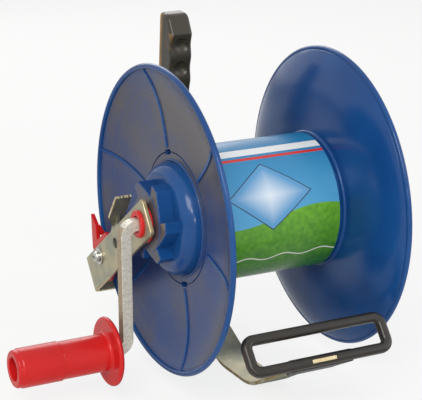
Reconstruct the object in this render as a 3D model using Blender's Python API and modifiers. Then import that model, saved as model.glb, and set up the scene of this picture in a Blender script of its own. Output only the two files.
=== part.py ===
"""Hand-cranked reel for fence wire, held by a pistol grip.

The spool turns about an axis along X. The crank is on its -X side, the wire
guide points to -Y and the grip stands at +Y. The origin is under the middle
of the spool, on the flat bottom of the frame's strip. Sizes are millimetres
and become metres in the helpers.

A flat steel bar, bent to a C, carries the spool between its two arms. The
crank turns a planet carrier inside the gear cover, and the sun gear turns
the spool three times for each turn of the crank.
"""
import math

import bmesh
import bpy
from mathutils import Matrix, Vector

MM = 0.001
CLEARANCE = 0.3

# Spool: rims, drum and label
RIM_RADIUS = 140.0
BEAD_RADIUS = 2.6
BEAD_SET_BACK = 0.7
FLANGE_FACE = 79.0
FLANGE_FLARE = 7.2
FLANGE_WALL = 3.0
FLARE_START = 60.0
HUB_BACK = 73.5
HUB_STEP = 3.0
RIB_COUNT = 6
RIB_WIDTH = 3.0
RIB_HEIGHT = 1.4
RIB_START = 62.5
DRUM_RADIUS = 61.0
DRUM_WALL = 3.0
DRUM_WEB_FACE = 62.0
DRUM_WEB = 3.0
SPIGOT_WALL = 2.7
SPIGOT_LENGTH = 7.5
LABEL_THICKNESS = 0.5
BARE_COLLAR = 13.0

# Gear cover with its ratchet
COVER_RADIUS = 59.5
COVER_FLANGE = 3.0
COVER_WALL = 3.0
COVER_PLAY = 0.4
DOME_RADIUS = 51.7
DOME_TOP_RADIUS = 43.5
DOME_HEIGHT = 6.4
RATCHET_DEPTH = 14.0
RATCHET_SET_BACK = 0.4
RATCHET_RADIUS = 38.0
RATCHET_ROOT = 27.0
RATCHET_TEETH = 6
RATCHET_LAND = 16.0
RATCHET_PHASE = 45.0
HUB_TUBE_RADIUS = 26.5
NOTCH_WIDTH = 5.0
NOTCH_REACH = 2.5
NOTCH_DEPTH = 2.2

# Planetary gear: its ring stands still, and the sun turns three times as fast as the carrier
GEAR_MODULE = 2.0
PRESSURE_ANGLE = math.radians(25.0)
SUN_TEETH = 18
PLANET_TEETH = 9
RING_TEETH = 36
PLANET_COUNT = 3
FIRST_PLANET = math.pi / 2
BACKLASH = 0.5
SUN_ADDENDUM = 1.4
SUN_DEDENDUM = 2.3
PLANET_ADDENDUM = 1.6
PLANET_DEDENDUM = 2.4
RING_ADDENDUM = 1.4
RING_DEDENDUM = 2.4
RING_RADIUS = 43.0
RING_WEB = 2.5
RING_WEB_RADIUS = 41.5
RING_OVER_PLANETS = 0.1
CARRIER_THICKNESS = 2.7
CARRIER_RADIUS = 32.5
CARRIER_PLAY = 0.5
PLANET_WIDTH = 12.0
PIN_RADIUS = 3.0
PIN_PROUD = 1.5
SUN_BORE = 10.2
SUN_HEXAGON = 26.0

# Frame: one flat bar bent to a C, in a plane that is tilted about the axis
ARM_TILT = math.radians(-35.7)
ARM_FACE = 107.0
BAR_THICKNESS = 4.0
BAR_WIDTH = 34.0
BAR_BEND = 6.0
BAR_EDGE = 0.8
BACK_FACE = 146.5
ARM_OVERHANG = 19.0
STOP_HOLE = 5.0
STOP_HOLE_PLACE = (63.3, 4.5)

# Bearing sleeve in the near arm
SLEEVE_RADIUS = 11.5
SLEEVE_BORE = 7.4
SLEEVE_LIP = 2.7
SLEEVE_LIP_RADIUS = 12.4
SLEEVE_LIP_CORNER = 0.9
SLEEVE_FLANGE = 2.0
SLEEVE_FLANGE_RADIUS = 17.5
SLEEVE_FLAT = 9.8

# Crank and its handle
CRANK_BAR = 10.0
CRANK_EDGE = 0.6
CRANK_FACE = 121.5
CRANK_THROW = 114.5
CRANK_BEND = 10.0
CRANK_PROUD = 3.2
CRANK_FIT = 0.4
CRANK_THROUGH_CARRIER = 0.8
CRANK_SCREW_RADIUS = 2.5
CRANK_SCREW_DEPTH = 11.0
CRANK_SCREW_HEAD = 4.0
CRANK_SCREW_HEAD_RADIUS = 5.0
CRANK_WASHER = 1.5
CRANK_WASHER_RADIUS = 9.5
HANDLE_START = 136.5
HANDLE_LENGTH = 93.0
HANDLE_FLANGE = 5.0
HANDLE_FLANGE_RADIUS = 31.5
HANDLE_RADIUS = 17.0
HANDLE_TIP_RADIUS = 17.8
HANDLE_TIP_LENGTH = 43.0
HANDLE_TIP_CORNER = 2.0
HANDLE_FILLET = 3.0
HANDLE_BORE = 7.5
HANDLE_MOUTH = 13.0
HANDLE_MOUTH_DEPTH = 29.5
CLIP_THICKNESS = 1.5
CLIP_RADIUS = 11.0

# Axle in the far arm, and the bush that turns on it
AXLE_RADIUS = 6.0
AXLE_HEAD = 6.0
AXLE_HEAD_RADIUS = 10.0
AXLE_HEAD_CORNER = 1.5
AXLE_REACH = 40.0
AXLE_NUT = 7.0
AXLE_NUT_FLATS = 19.0
BUSH_WALL = 3.4
BUSH_FLANGE = 1.9
BUSH_FLANGE_RADIUS = 13.0
BOSS_RADIUS = 17.0
BOSS_HEIGHT = 13.0

# Strip that joins the frame, the grip and the wire guide
STRIP_THICKNESS = 3.5
STRIP_WIDTH = 31.0
STRIP_BEND = 24.0
STRIP_BOTTOM = 159.5
STRIP_FRONT_CORNER = -37.0
STRIP_BACK_CORNER = 24.0
STRIP_BELOW_BAR = 46.0
STRIP_ABOVE_BAR = 67.0
TONGUE_WIDTH = 24.0
TONGUE_PROUD = 4.2
TANG_WIDTH = 16.0
TANG_SHOULDER = 8.0
TANG_LENGTH = 116.0
RIVET_RADIUS = 2.5
RIVET_HEAD = 1.6
RIVET_HEAD_RADIUS = 5.0
RIVET_SPACING = 16.0

# Wire guide
GUIDE_PLACE = (-138.7, -99.1)
GUIDE_LEAN = math.radians(-38.8)
GUIDE_HOLE_LENGTH = 124.0
GUIDE_HOLE_HEIGHT = 19.6
GUIDE_BAR = 9.0
GUIDE_CORNER = 11.5
GUIDE_HOLE_CORNER = 3.5
GUIDE_ROUNDING = 2.4
GUIDE_BOSS_WIDTH = 48.0
GUIDE_BOSS_START = 1.5
GUIDE_BOSS_END = 28.0
GUIDE_BOSS_THICKNESS = 8.4

# Pistol grip: two halves on the tang of the strip
GRIP_LEAN = math.radians(5.33)
GRIP_RISE = 64.5
GRIP_LENGTH = 125.0
GRIP_WIDTH = 23.0
GRIP_FRONT = 13.5
GRIP_BACK = 13.0
GRIP_ROUNDING = 4.0
GROOVE_PITCH = 23.0
GROOVE_DEPTH = 3.6
GRIP_SLOPE_LENGTH = 17.0
GRIP_SLOPE_DEPTH = 9.0
GRIP_SCREW_PLACES = (30.0, 95.0)
GRIP_SCREW_RADIUS = 2.0
GRIP_SCREW_HEAD = 2.6
GRIP_SCREW_HEAD_RADIUS = 3.6
GRIP_SCREW_SINK = 0.8
GRIP_SCREW_REACH = 9.0

# Latch: a red lever and a steel pawl that turn together on one screw
PIVOT_PLACE = (107.1, 6.8)
PIVOT_RADIUS = 3.0
WASHER_RADIUS = 7.0
WASHER_THICKNESS = 1.2
SCREW_HEAD = 4.0
SCREW_HEAD_RADIUS = 5.2
SCREW_PROUD = 0.4
LATCH_NUT = 4.4
LATCH_NUT_FLATS = 10.0
LEVER_FACE = 99.6
LEVER_THICKNESS = 4.0
LEVER_EDGE = 0.6
LEVER_HUB_RADIUS = 8.0
LEVER_RIB_DEPTH = 6.5
PEG_PLACE = (-4.6, 14.5)
PEG_RADIUS = 2.2
PAWL_THICKNESS = 2.8
PAWL_EYE = 9.5
PAWL_BASE = (-13.3, 40.9)
PAWL_TILT = math.radians(125.8)
PAWL_LENGTH = 29.4
PAWL_FOOT = 14.0
PAWL_LEG_OVERLAP = 6.0
PAWL_REACH = 87.0

# Sizes worked out from the ones above
ARM_INNER = ARM_FACE - BAR_THICKNESS
BAR_CENTRE = BACK_FACE - BAR_THICKNESS / 2
BEAD_CENTRE = (RIM_RADIUS - BEAD_RADIUS, FLANGE_FACE + FLANGE_FLARE - BEAD_SET_BACK)
COVER_SEAT = FLANGE_FACE - COVER_FLANGE - CLEARANCE
COVER_OPENING = COVER_RADIUS + CLEARANCE
DOME_FACE = FLANGE_FACE + DOME_HEIGHT
RATCHET_FACE = DOME_FACE + RATCHET_DEPTH
SPIGOT_RADIUS = DRUM_RADIUS - DRUM_WALL - CLEARANCE
SPIGOT_INSIDE = SPIGOT_RADIUS - SPIGOT_WALL
SPIGOT_END = HUB_BACK - SPIGOT_LENGTH
DRUM_END = HUB_BACK - CLEARANCE
RING_FACE = DOME_FACE - COVER_WALL - CLEARANCE
RING_WEB_END = RING_FACE - RING_WEB
CARRIER_FACE = RING_WEB_END - CARRIER_PLAY
CARRIER_END = CARRIER_FACE - CARRIER_THICKNESS
PLANET_FACE = CARRIER_END - CLEARANCE
PLANET_END = PLANET_FACE - PLANET_WIDTH
PLANET_ORBIT = GEAR_MODULE * (SUN_TEETH + PLANET_TEETH) / 2
SUN_SEAT = DRUM_WEB_FACE + CLEARANCE
SUN_END = DRUM_WEB_FACE - DRUM_WEB - CLEARANCE
CRANK_INNER_END = CARRIER_END - CRANK_THROUGH_CARRIER
CRANK_WASHER_FACE = CRANK_INNER_END - CLEARANCE
CRANK_SCREW_FACE = CRANK_WASHER_FACE - CRANK_WASHER - CLEARANCE
HANDLE_END = HANDLE_START + HANDLE_LENGTH
HANDLE_SEAT = HANDLE_END - HANDLE_MOUTH_DEPTH
CLIP_FACE = HANDLE_SEAT + CLEARANCE
CRANK_END = CLIP_FACE + CLIP_THICKNESS + CRANK_PROUD
BUSH_RADIUS = AXLE_RADIUS + CLEARANCE + BUSH_WALL
BOSS_END = FLANGE_FACE + BOSS_HEIGHT
BUSH_SEAT = BOSS_END + CLEARANCE
STRIP_ON_BAR = BACK_FACE + CLEARANCE + STRIP_THICKNESS / 2
STRIP_LEVEL = STRIP_THICKNESS / 2 - STRIP_BOTTOM
LATCH_FACE = ARM_INNER - CLEARANCE
LEVER_BACK = LEVER_FACE - LEVER_THICKNESS
LEG_FACE = LEVER_BACK - CLEARANCE
LEG_BACK = LEG_FACE - PAWL_THICKNESS
NUT_FACE = LEG_BACK - CLEARANCE
NUT_END = NUT_FACE - LATCH_NUT

# Outlines of the red lever and its rib about the pivot, as (y, z)
LEVER_OUTLINE = [
    (34.5, -2.6), (37.3, 30.3), (34.2, 31.2), (26.0, 26.0), (23.6, 8.6), (4.5, 21.0),
    (-9.0, 18.0), (-20.7, -6.0), (-2.7, -25.5), (0.7, -24.0), (20.0, -16.0)]
LEVER_RIB = [(26.0, 26.0), (24.8, 16.0), (27.3, 16.0), (29.0, 27.9)]

# Rotations that lay a flat outline across the X or the Y axis, or turn Z to X or Y
ACROSS_X = (math.pi / 2, 0, math.pi / 2)
ACROSS_Y = (math.pi / 2, 0, 0)
ALONG_X = (0, math.pi / 2, 0)
ALONG_Y = (-math.pi / 2, 0, 0)

# Steps round the spool, its cover, and middling and small pieces
SPOOL_STEPS = 48
COVER_STEPS = 40
PART_STEPS = 28
SMALL_STEPS = 16

PARTS = "fence_wire_reel"
CUTTERS = "cutters"

# Linear colour, roughness and metallic value of each material
MATERIALS = {
    "spool_blue": ((0.012, 0.078, 0.275), 0.35, 0.0),
    "label_film": ((0.06, 0.26, 0.42), 0.3, 0.0),
    "red_plastic": ((0.68, 0.03, 0.03), 0.35, 0.0),
    "passivated_steel": ((0.45, 0.42, 0.27), 0.4, 1.0),
    "galvanised_steel": ((0.6, 0.58, 0.5), 0.45, 1.0),
    "bright_zinc": ((0.7, 0.7, 0.68), 0.3, 1.0),
    "gear_nylon": ((0.75, 0.74, 0.68), 0.5, 0.0),
    "black_plastic": ((0.03, 0.028, 0.024), 0.4, 0.0),
    "grip_plastic": ((0.06, 0.052, 0.035), 0.5, 0.0),
}


def clear_scene():
    """Remove every object, so that the model stands alone."""
    for obj in list(bpy.data.objects):
        bpy.data.objects.remove(obj, do_unlink=True)


def make_collections():
    """Make one collection for the pieces and one for the cutters."""
    for name in (PARTS, CUTTERS):
        bpy.context.scene.collection.children.link(bpy.data.collections.new(name))


def make_materials():
    """Make a Principled material of each name."""
    for name, (colour, roughness, metallic) in MATERIALS.items():
        material = bpy.data.materials.new(name)
        material.use_nodes = True
        shader = material.node_tree.nodes["Principled BSDF"]
        shader.inputs["Base Color"].default_value = (*colour, 1.0)
        shader.inputs["Roughness"].default_value = roughness
        shader.inputs["Metallic"].default_value = metallic


def place(name, mesh, finish, parent, location=(0, 0, 0), rotation=(0, 0, 0)):
    """Put a mesh in the scene as a piece, or as a cutter if it has no finish."""
    obj = bpy.data.objects.new(name, mesh)
    bpy.data.collections[PARTS if finish else CUTTERS].objects.link(obj)
    obj.parent = parent
    obj.location = Vector(location) * MM
    obj.rotation_euler = rotation
    if finish:
        mesh.materials.append(bpy.data.materials[finish])
    else:
        obj.hide_render = True
        obj.display_type = "WIRE"
    return obj


def add_axis(name, parent=None, location=(0, 0, 0), tilt=0.0):
    """Add an empty that carries pieces, turned about X."""
    axis = bpy.data.objects.new(name, None)
    bpy.data.collections[PARTS].objects.link(axis)
    axis.parent = parent
    axis.location = Vector(location) * MM
    axis.rotation_euler = (tilt, 0, 0)
    axis.empty_display_size = 20 * MM
    return axis


def mesh_from(shape, name):
    """Turn a bmesh into a mesh, and free it."""
    mesh = bpy.data.meshes.new(name)
    shape.to_mesh(mesh)
    shape.free()
    return mesh


def clockwise(points):
    """Order an outline clockwise, which a Screw modifier turns into outward faces."""
    following = points[1:] + points[:1]
    area = sum(x0 * y1 - x1 * y0 for (x0, y0), (x1, y1) in zip(points, following))
    return points if area < 0 else points[::-1]


def turned(name, profile, finish, parent, location=(0, 0, 0), rotation=ALONG_X, steps=PART_STEPS):
    """Turn a profile of (radius, x) points about X, closed unless it ends on the axis."""
    points = clockwise(list(profile))
    shape = bmesh.new()
    verts = [shape.verts.new(Vector((radius, 0, x)) * MM) for radius, x in points]
    for start, end in zip(verts, verts[1:]):
        shape.edges.new((start, end))
    if points[0][0] > 0:
        shape.edges.new((verts[-1], verts[0]))
    obj = place(name, mesh_from(shape, name), finish, parent, location, rotation)
    screw = obj.modifiers.new("turn", "SCREW")
    screw.axis = "Z"
    screw.angle = 2 * math.pi
    screw.steps = steps
    screw.render_steps = steps
    screw.use_merge_vertices = True
    screw.merge_threshold = 0.00001
    screw.use_smooth_shade = True
    return obj


def outline_mesh(name, loops, depth):
    """Extrude flat loops, the first one the outside and the others holes."""
    curve = bpy.data.curves.new(name, "CURVE")
    curve.dimensions = "2D"
    curve.fill_mode = "BOTH"
    curve.extrude = depth / 2 * MM
    for loop in loops:
        spline = curve.splines.new("POLY")
        spline.points.add(len(loop) - 1)
        for point, (u, v) in zip(spline.points, loop):
            point.co = (u * MM, v * MM, 0, 1)
        spline.use_cyclic_u = True
    guide = bpy.data.objects.new(name, curve)
    bpy.context.scene.collection.objects.link(guide)
    depsgraph = bpy.context.evaluated_depsgraph_get()
    filled = bpy.data.meshes.new_from_object(guide.evaluated_get(depsgraph))
    bpy.data.objects.remove(guide)
    bpy.data.curves.remove(curve)
    shape = bmesh.new()
    shape.from_mesh(filled)
    bpy.data.meshes.remove(filled)
    bmesh.ops.remove_doubles(shape, verts=shape.verts, dist=0.000001)
    bmesh.ops.dissolve_limit(shape, angle_limit=0.002, verts=shape.verts, edges=shape.edges)
    bmesh.ops.recalc_face_normals(shape, faces=shape.faces)
    return mesh_from(shape, name)


def plate(name, loops, low, high, finish, parent, centre=(0, 0)):
    """Extrude loops of (y, z) points between two values of X, about a centre."""
    mesh = outline_mesh(name, loops, high - low)
    return place(name, mesh, finish, parent, ((low + high) / 2, *centre), ACROSS_X)


def cylinder(name, radius, start, end, finish, parent, steps=PART_STEPS):
    """Add a cylinder between two points. Six steps make a hexagon."""
    start, end = Vector(start), Vector(end)
    shape = bmesh.new()
    bmesh.ops.create_cone(
        shape, cap_ends=True, segments=steps, radius1=radius * MM, radius2=radius * MM,
        depth=(end - start).length * MM)
    for face in shape.faces:
        face.smooth = len(face.verts) == 4 and steps > 6
    turn = (end - start).to_track_quat("Z", "Y").to_euler()
    return place(name, mesh_from(shape, name), finish, parent, (start + end) / 2, turn)


def block(name, low, high, finish, parent):
    """Add a box between two corners."""
    low, high = Vector(low), Vector(high)
    shape = bmesh.new()
    bmesh.ops.create_cube(shape, size=MM)
    bmesh.ops.scale(shape, vec=high - low, verts=shape.verts)
    return place(name, mesh_from(shape, name), finish, parent, (low + high) / 2)


def side_block(name, side, inner, outer, low, high, parent):
    """Add a cutter from an inner to an outer X on one side, between two (y, z) corners."""
    near, far = sorted((side * inner, side * outer))
    return block(name, (near, *low), (far, *high), None, parent)


def boolean(obj, operation, tools):
    """Add an exact Boolean for each tool."""
    for tool in tools:
        modifier = obj.modifiers.new(tool.name, "BOOLEAN")
        modifier.operation = operation
        modifier.solver = "EXACT"
        modifier.object = tool


def cut(obj, *tools):
    """Take tools away from a piece."""
    boolean(obj, "DIFFERENCE", tools)


def fuse(obj, *tools):
    """Join tools to a piece."""
    boolean(obj, "UNION", tools)


def keep(obj, *tools):
    """Keep what a piece shares with its tools."""
    boolean(obj, "INTERSECT", tools)


def round_edges(obj, width, segments):
    """Round the edges between faces that meet at more than 50 degrees, in flat triangles."""
    bevel = obj.modifiers.new("rounding", "BEVEL")
    bevel.width = width * MM
    bevel.segments = segments
    bevel.limit_method = "ANGLE"
    bevel.angle_limit = math.radians(50.0)
    obj.modifiers.new("flat_faces", "TRIANGULATE")


def polar(radius, degrees, centre=(0, 0)):
    """A point at a radius and an angle from a centre."""
    angle = math.radians(degrees)
    return centre[0] + radius * math.cos(angle), centre[1] + radius * math.sin(angle)


def arc(radius, first, last, steps, centre=(0, 0)):
    """Points of an arc between two angles in degrees, both ends included."""
    return [polar(radius, first + (last - first) * step / steps, centre) for step in range(steps + 1)]


def circle(radius, steps=PART_STEPS, centre=(0, 0)):
    """Points of a circle."""
    return [polar(radius, 360 * step / steps, centre) for step in range(steps)]


def rectangle(length, height, corner=0.0, steps=5):
    """A rectangle about the origin, with round corners if a radius is given."""
    inner_u, inner_v = length / 2 - corner, height / 2 - corner
    centres = [(inner_u, inner_v), (-inner_u, inner_v), (-inner_u, -inner_v), (inner_u, -inner_v)]
    if not corner:
        return centres
    points = []
    for quarter, centre in enumerate(centres):
        points += arc(corner, 90 * quarter, 90 * quarter + 90, steps, centre)
    return points


def hexagon_radius(flats):
    """Radius to the corners of a hexagon of a width across its flats."""
    return flats / 2 / math.cos(math.pi / 6)


def to_left(direction):
    """A direction turned a quarter to the left."""
    return Vector((-direction.y, direction.x))


def bent_bar(corners, bend, thickness, steps=5):
    """Outline of a bar of one thickness that is bent where its centre line turns."""
    corners = [Vector(corner) for corner in corners]
    heading = (corners[1] - corners[0]).normalized()
    centre_line = [(corners[0], heading)]
    for corner, after in zip(corners[1:-1], corners[2:]):
        leaving = (after - corner).normalized()
        turn = math.atan2(heading.cross(leaving), heading.dot(leaving))
        side = math.copysign(bend, turn)
        start = corner - heading * bend * math.tan(abs(turn) / 2)
        bend_centre = start + to_left(heading) * side
        for step in range(steps + 1):
            direction = Matrix.Rotation(turn * step / steps, 2) @ heading
            centre_line.append((bend_centre - to_left(direction) * side, direction))
        heading = leaving
    centre_line.append((corners[-1], heading))
    left = [tuple(point + to_left(direction) * thickness / 2) for point, direction in centre_line]
    right = [tuple(point - to_left(direction) * thickness / 2) for point, direction in centre_line]
    return left + right[::-1]


def involute(angle):
    """The involute function of a pressure angle."""
    return math.tan(angle) - angle


def gear_outline(teeth, addendum, dedendum, backlash, phase=0.0, flank_points=3):
    """Outline of a spur gear, with the middle of one tooth at the phase angle."""
    pitch_radius = teeth * GEAR_MODULE / 2
    base_radius = pitch_radius * math.cos(PRESSURE_ANGLE)
    tip, root = pitch_radius + addendum, pitch_radius - dedendum
    half_tooth = math.pi / (2 * teeth) - backlash / (2 * pitch_radius)
    offset = half_tooth + involute(PRESSURE_ANGLE)
    start = max(base_radius, root)
    flank = [(root, offset)] if root < base_radius else []
    for index in range(flank_points):
        radius = start + (tip - start) * index / (flank_points - 1)
        flank.append((radius, offset - involute(math.acos(min(1.0, base_radius / radius)))))
    points = []
    for tooth in range(teeth):
        middle = phase + 2 * math.pi * tooth / teeth
        points += [(radius, middle - angle) for radius, angle in flank]
        points += [(radius, middle + angle) for radius, angle in reversed(flank)]
    return [(radius * math.cos(angle), radius * math.sin(angle)) for radius, angle in points]


def ratchet_outline():
    """Teeth, each with a square face, a round land and a straight slope."""
    points = []
    for tooth in range(RATCHET_TEETH):
        face = RATCHET_PHASE + 360 / RATCHET_TEETH * tooth
        points.append(polar(RATCHET_ROOT, face))
        points += arc(RATCHET_RADIUS, face, face + RATCHET_LAND, 3)
    return points


def flared(first, last, steps, offset):
    """Points along a flange's flared outer face, moved outward by an offset."""
    points = []
    for step in range(steps + 1):
        radius = first + (last - first) * step / steps
        share = max(0.0, radius - FLARE_START) / (BEAD_CENTRE[0] - FLARE_START)
        points.append((radius, FLANGE_FACE + FLANGE_FLARE * share ** 2 + offset))
    return points


def rim_profile():
    """The part of a flange's profile that both flanges share, from the spigot round the rim."""
    step = DRUM_RADIUS + HUB_STEP
    rim = RIM_RADIUS - 2 * BEAD_RADIUS
    return [(SPIGOT_INSIDE, SPIGOT_END), (SPIGOT_RADIUS, SPIGOT_END), (SPIGOT_RADIUS, HUB_BACK),
            (step, HUB_BACK),
            *flared(step + HUB_STEP, rim + 1, 4, -FLANGE_WALL),
            *arc(BEAD_RADIUS, -112, 168, 6, BEAD_CENTRE),
            *flared(rim - 1, COVER_OPENING, 4, 0.0)]


def mirrored(profile):
    """Move a profile to the near side, where X is negative."""
    return [(radius, -x) for radius, x in profile]


def add_ribs(flange, side, parent):
    """Fuse radial ribs to a flange's outer face, the first one straight up."""
    base = flared(RIB_START, BEAD_CENTRE[0] - 1, 1, -FLANGE_WALL / 2)
    crest = flared(RIB_START + RIB_HEIGHT, BEAD_CENTRE[0] - 1, 4, RIB_HEIGHT)
    outline = [(side * x, radius) for radius, x in base + crest[::-1]]
    for index in range(RIB_COUNT):
        name = f"{flange.name}_rib_{index + 1}"
        turn = Matrix.Rotation(2 * math.pi * index / RIB_COUNT + math.pi / 2, 3, "X")
        rib = place(name, outline_mesh(name, [outline], RIB_WIDTH), None, parent,
                    rotation=turn.to_euler())
        fuse(flange, rib)


def add_notches(axis):
    """Two square notches across the seam between the cover and the near flange."""
    notches = []
    for name, side in (("top", 1), ("bottom", -1)):
        low, high = sorted((side * (COVER_RADIUS - NOTCH_REACH), side * (COVER_RADIUS + NOTCH_REACH)))
        notches.append(side_block(f"{name}_notch", -1, FLANGE_FACE - NOTCH_DEPTH, FLANGE_FACE + 1,
                                  (-NOTCH_WIDTH / 2, low), (NOTCH_WIDTH / 2, high), axis))
    return notches


def near_flange(axis, notches):
    """Rim disc on the crank side, with an opening for the gear cover."""
    profile = rim_profile() + [(COVER_OPENING, COVER_SEAT), (SPIGOT_INSIDE, COVER_SEAT)]
    flange = turned("near_flange", mirrored(profile), "spool_blue", axis, steps=SPOOL_STEPS)
    add_ribs(flange, -1, axis)
    cut(flange, *notches)


def far_flange(axis):
    """Rim disc on the far side, with a web and a boss for the bush."""
    bore = BUSH_RADIUS + CLEARANCE
    web_back = FLANGE_FACE - FLANGE_WALL
    profile = rim_profile() + [
        (BOSS_RADIUS, FLANGE_FACE), (BOSS_RADIUS, BOSS_END), (bore, BOSS_END), (bore, SPIGOT_END),
        (BOSS_RADIUS, SPIGOT_END), (BOSS_RADIUS, web_back), (SPIGOT_INSIDE, web_back)]
    flange = turned("far_flange", profile, "spool_blue", axis, steps=SPOOL_STEPS)
    add_ribs(flange, 1, axis)


def drum(axis):
    """Tube that the wire winds on, with a web that the sun gear drives."""
    inside = DRUM_RADIUS - DRUM_WALL
    web_back = DRUM_WEB_FACE - DRUM_WEB
    profile = [(inside, -DRUM_END), (DRUM_RADIUS, -DRUM_END), (DRUM_RADIUS, DRUM_END),
               (inside, DRUM_END), (inside, -web_back), (SUN_BORE, -web_back),
               (SUN_BORE, -DRUM_WEB_FACE), (inside, -DRUM_WEB_FACE)]
    tube = turned("drum", profile, "spool_blue", axis, steps=SPOOL_STEPS)
    cut(tube, cylinder("drum_hexagon", hexagon_radius(SUN_HEXAGON + 2 * CLEARANCE),
                       (-DRUM_WEB_FACE - 1, 0, 0), (1 - web_back, 0, 0), None, axis, 6))


def label_sleeve(axis):
    """Printed film round the drum, which leaves a bare collar at the far end."""
    inside = DRUM_RADIUS + CLEARANCE
    outside = inside + LABEL_THICKNESS
    near, far = CLEARANCE - DRUM_END, DRUM_END - BARE_COLLAR
    profile = [(inside, near), (outside, near), (outside, far), (inside, far)]
    turned("label_sleeve", profile, "label_film", axis, steps=SPOOL_STEPS)


def shoulder(inset, steps=4):
    """Quarter ellipse from the foot of the dome to its top, moved inward by an inset."""
    across = DOME_RADIUS - DOME_TOP_RADIUS - inset
    height = DOME_HEIGHT - inset
    return [(DOME_TOP_RADIUS + across * u, FLANGE_FACE + height * v) for u, v in arc(1, 0, 90, steps)]


def gear_cover(axis, notches):
    """Domed cover over the gears, moulded in one with the ratchet."""
    bore = SLEEVE_RADIUS + COVER_PLAY
    inside = DOME_FACE - COVER_WALL
    tube_inside = HUB_TUBE_RADIUS - COVER_WALL
    front_inside = RATCHET_FACE - COVER_WALL
    back = COVER_SEAT + CLEARANCE
    profile = [(COVER_RADIUS, back), (COVER_RADIUS, FLANGE_FACE), *shoulder(0.0),
               (HUB_TUBE_RADIUS, DOME_FACE), (HUB_TUBE_RADIUS, RATCHET_FACE), (bore, RATCHET_FACE),
               (bore, inside), (bore + COVER_WALL, inside), (bore + COVER_WALL, front_inside),
               (tube_inside, front_inside), (tube_inside, inside),
               *shoulder(COVER_WALL)[::-1], (DOME_RADIUS - COVER_WALL, back)]
    cover = turned("gear_cover", mirrored(profile), "spool_blue", axis, steps=COVER_STEPS)
    teeth = plate("ratchet_teeth", [ratchet_outline(), circle(HUB_TUBE_RADIUS - COVER_WALL / 2)],
                  RATCHET_SET_BACK - RATCHET_FACE, COVER_WALL / 2 - DOME_FACE, None, axis)
    fuse(cover, teeth)
    cut(cover, *notches)


def sun_gear(axis):
    """Gear on a hexagon that drives the drum's web."""
    outline = gear_outline(SUN_TEETH, SUN_ADDENDUM, SUN_DEDENDUM, BACKLASH)
    gear = plate("sun_gear", [outline], -PLANET_FACE, -SUN_SEAT, "gear_nylon", axis)
    fuse(gear, cylinder("sun_hexagon", hexagon_radius(SUN_HEXAGON), (-SUN_SEAT - 1, 0, 0),
                        (-SUN_END, 0, 0), None, axis, 6))
    cut(gear, cylinder("sun_bore", SUN_BORE, (-PLANET_FACE - 1, 0, 0), (1 - SUN_END, 0, 0), None, axis))


def planet_phase():
    """Angle of a tooth of the first planet, which meshes with the sun."""
    sun_teeth_passed = FIRST_PLANET * SUN_TEETH / (2 * math.pi)
    return FIRST_PLANET + math.pi - (0.5 - sun_teeth_passed) * 2 * math.pi / PLANET_TEETH


def ring_phase():
    """Angle of a gap of the ring, which meshes with the first planet."""
    planet_teeth_passed = (FIRST_PLANET - planet_phase()) * PLANET_TEETH / (2 * math.pi)
    return FIRST_PLANET - planet_teeth_passed * 2 * math.pi / RING_TEETH


def ring_gear(axis):
    """Ring gear that the bearing sleeve's two flats keep from turning."""
    gaps = gear_outline(RING_TEETH, RING_DEDENDUM, RING_ADDENDUM, -BACKLASH, ring_phase())
    ring = plate("ring_gear", [circle(RING_RADIUS, COVER_STEPS), gaps], -RING_WEB_END - 0.4,
                 RING_OVER_PLANETS - PLANET_END, "gear_nylon", axis)
    hole = SLEEVE_RADIUS + CLEARANCE
    flat_angle = math.degrees(math.acos((SLEEVE_FLAT + CLEARANCE) / hole))
    opening = arc(hole, flat_angle, 180 - flat_angle, 8) + arc(hole, 180 + flat_angle, 360 - flat_angle, 8)
    fuse(ring, plate("ring_web", [circle(RING_WEB_RADIUS, COVER_STEPS), opening], -RING_FACE, -RING_WEB_END,
                     None, axis))


def planet_angles():
    """Angle of each planet's centre round the axis."""
    return [FIRST_PLANET + 2 * math.pi * index / PLANET_COUNT for index in range(PLANET_COUNT)]


def planet_centre(angle):
    """Centre of a planet, as (y, z)."""
    return PLANET_ORBIT * math.cos(angle), PLANET_ORBIT * math.sin(angle)


def planet_gears(axis):
    """Three planets on their pins."""
    for index, angle in enumerate(planet_angles()):
        phase = planet_phase() + (angle - FIRST_PLANET) * (1 + SUN_TEETH / PLANET_TEETH)
        outline = gear_outline(PLANET_TEETH, PLANET_ADDENDUM, PLANET_DEDENDUM, BACKLASH, phase)
        plate(f"planet_gear_{index + 1}", [outline, circle(PIN_RADIUS + CLEARANCE, SMALL_STEPS)],
              -PLANET_FACE, -PLANET_END, "gear_nylon", axis, planet_centre(angle))


def planet_carrier(axis):
    """Disc on the square of the crank, with a hole for each planet's pin."""
    hole = PIN_RADIUS + CLEARANCE
    loops = [circle(CARRIER_RADIUS, COVER_STEPS), rectangle(CRANK_BAR + CRANK_FIT, CRANK_BAR + CRANK_FIT)]
    loops += [circle(hole, SMALL_STEPS, planet_centre(angle)) for angle in planet_angles()]
    plate("planet_carrier", loops, -CARRIER_FACE, -CARRIER_END, "bright_zinc", axis)


def planet_pins(axis):
    """Three pins, pressed into the carrier."""
    for index, angle in enumerate(planet_angles()):
        start = (-CARRIER_FACE, *planet_centre(angle))
        end = (PIN_PROUD - PLANET_END, *planet_centre(angle))
        cylinder(f"planet_pin_{index + 1}", PIN_RADIUS, start, end, "bright_zinc", axis, SMALL_STEPS)


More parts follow.
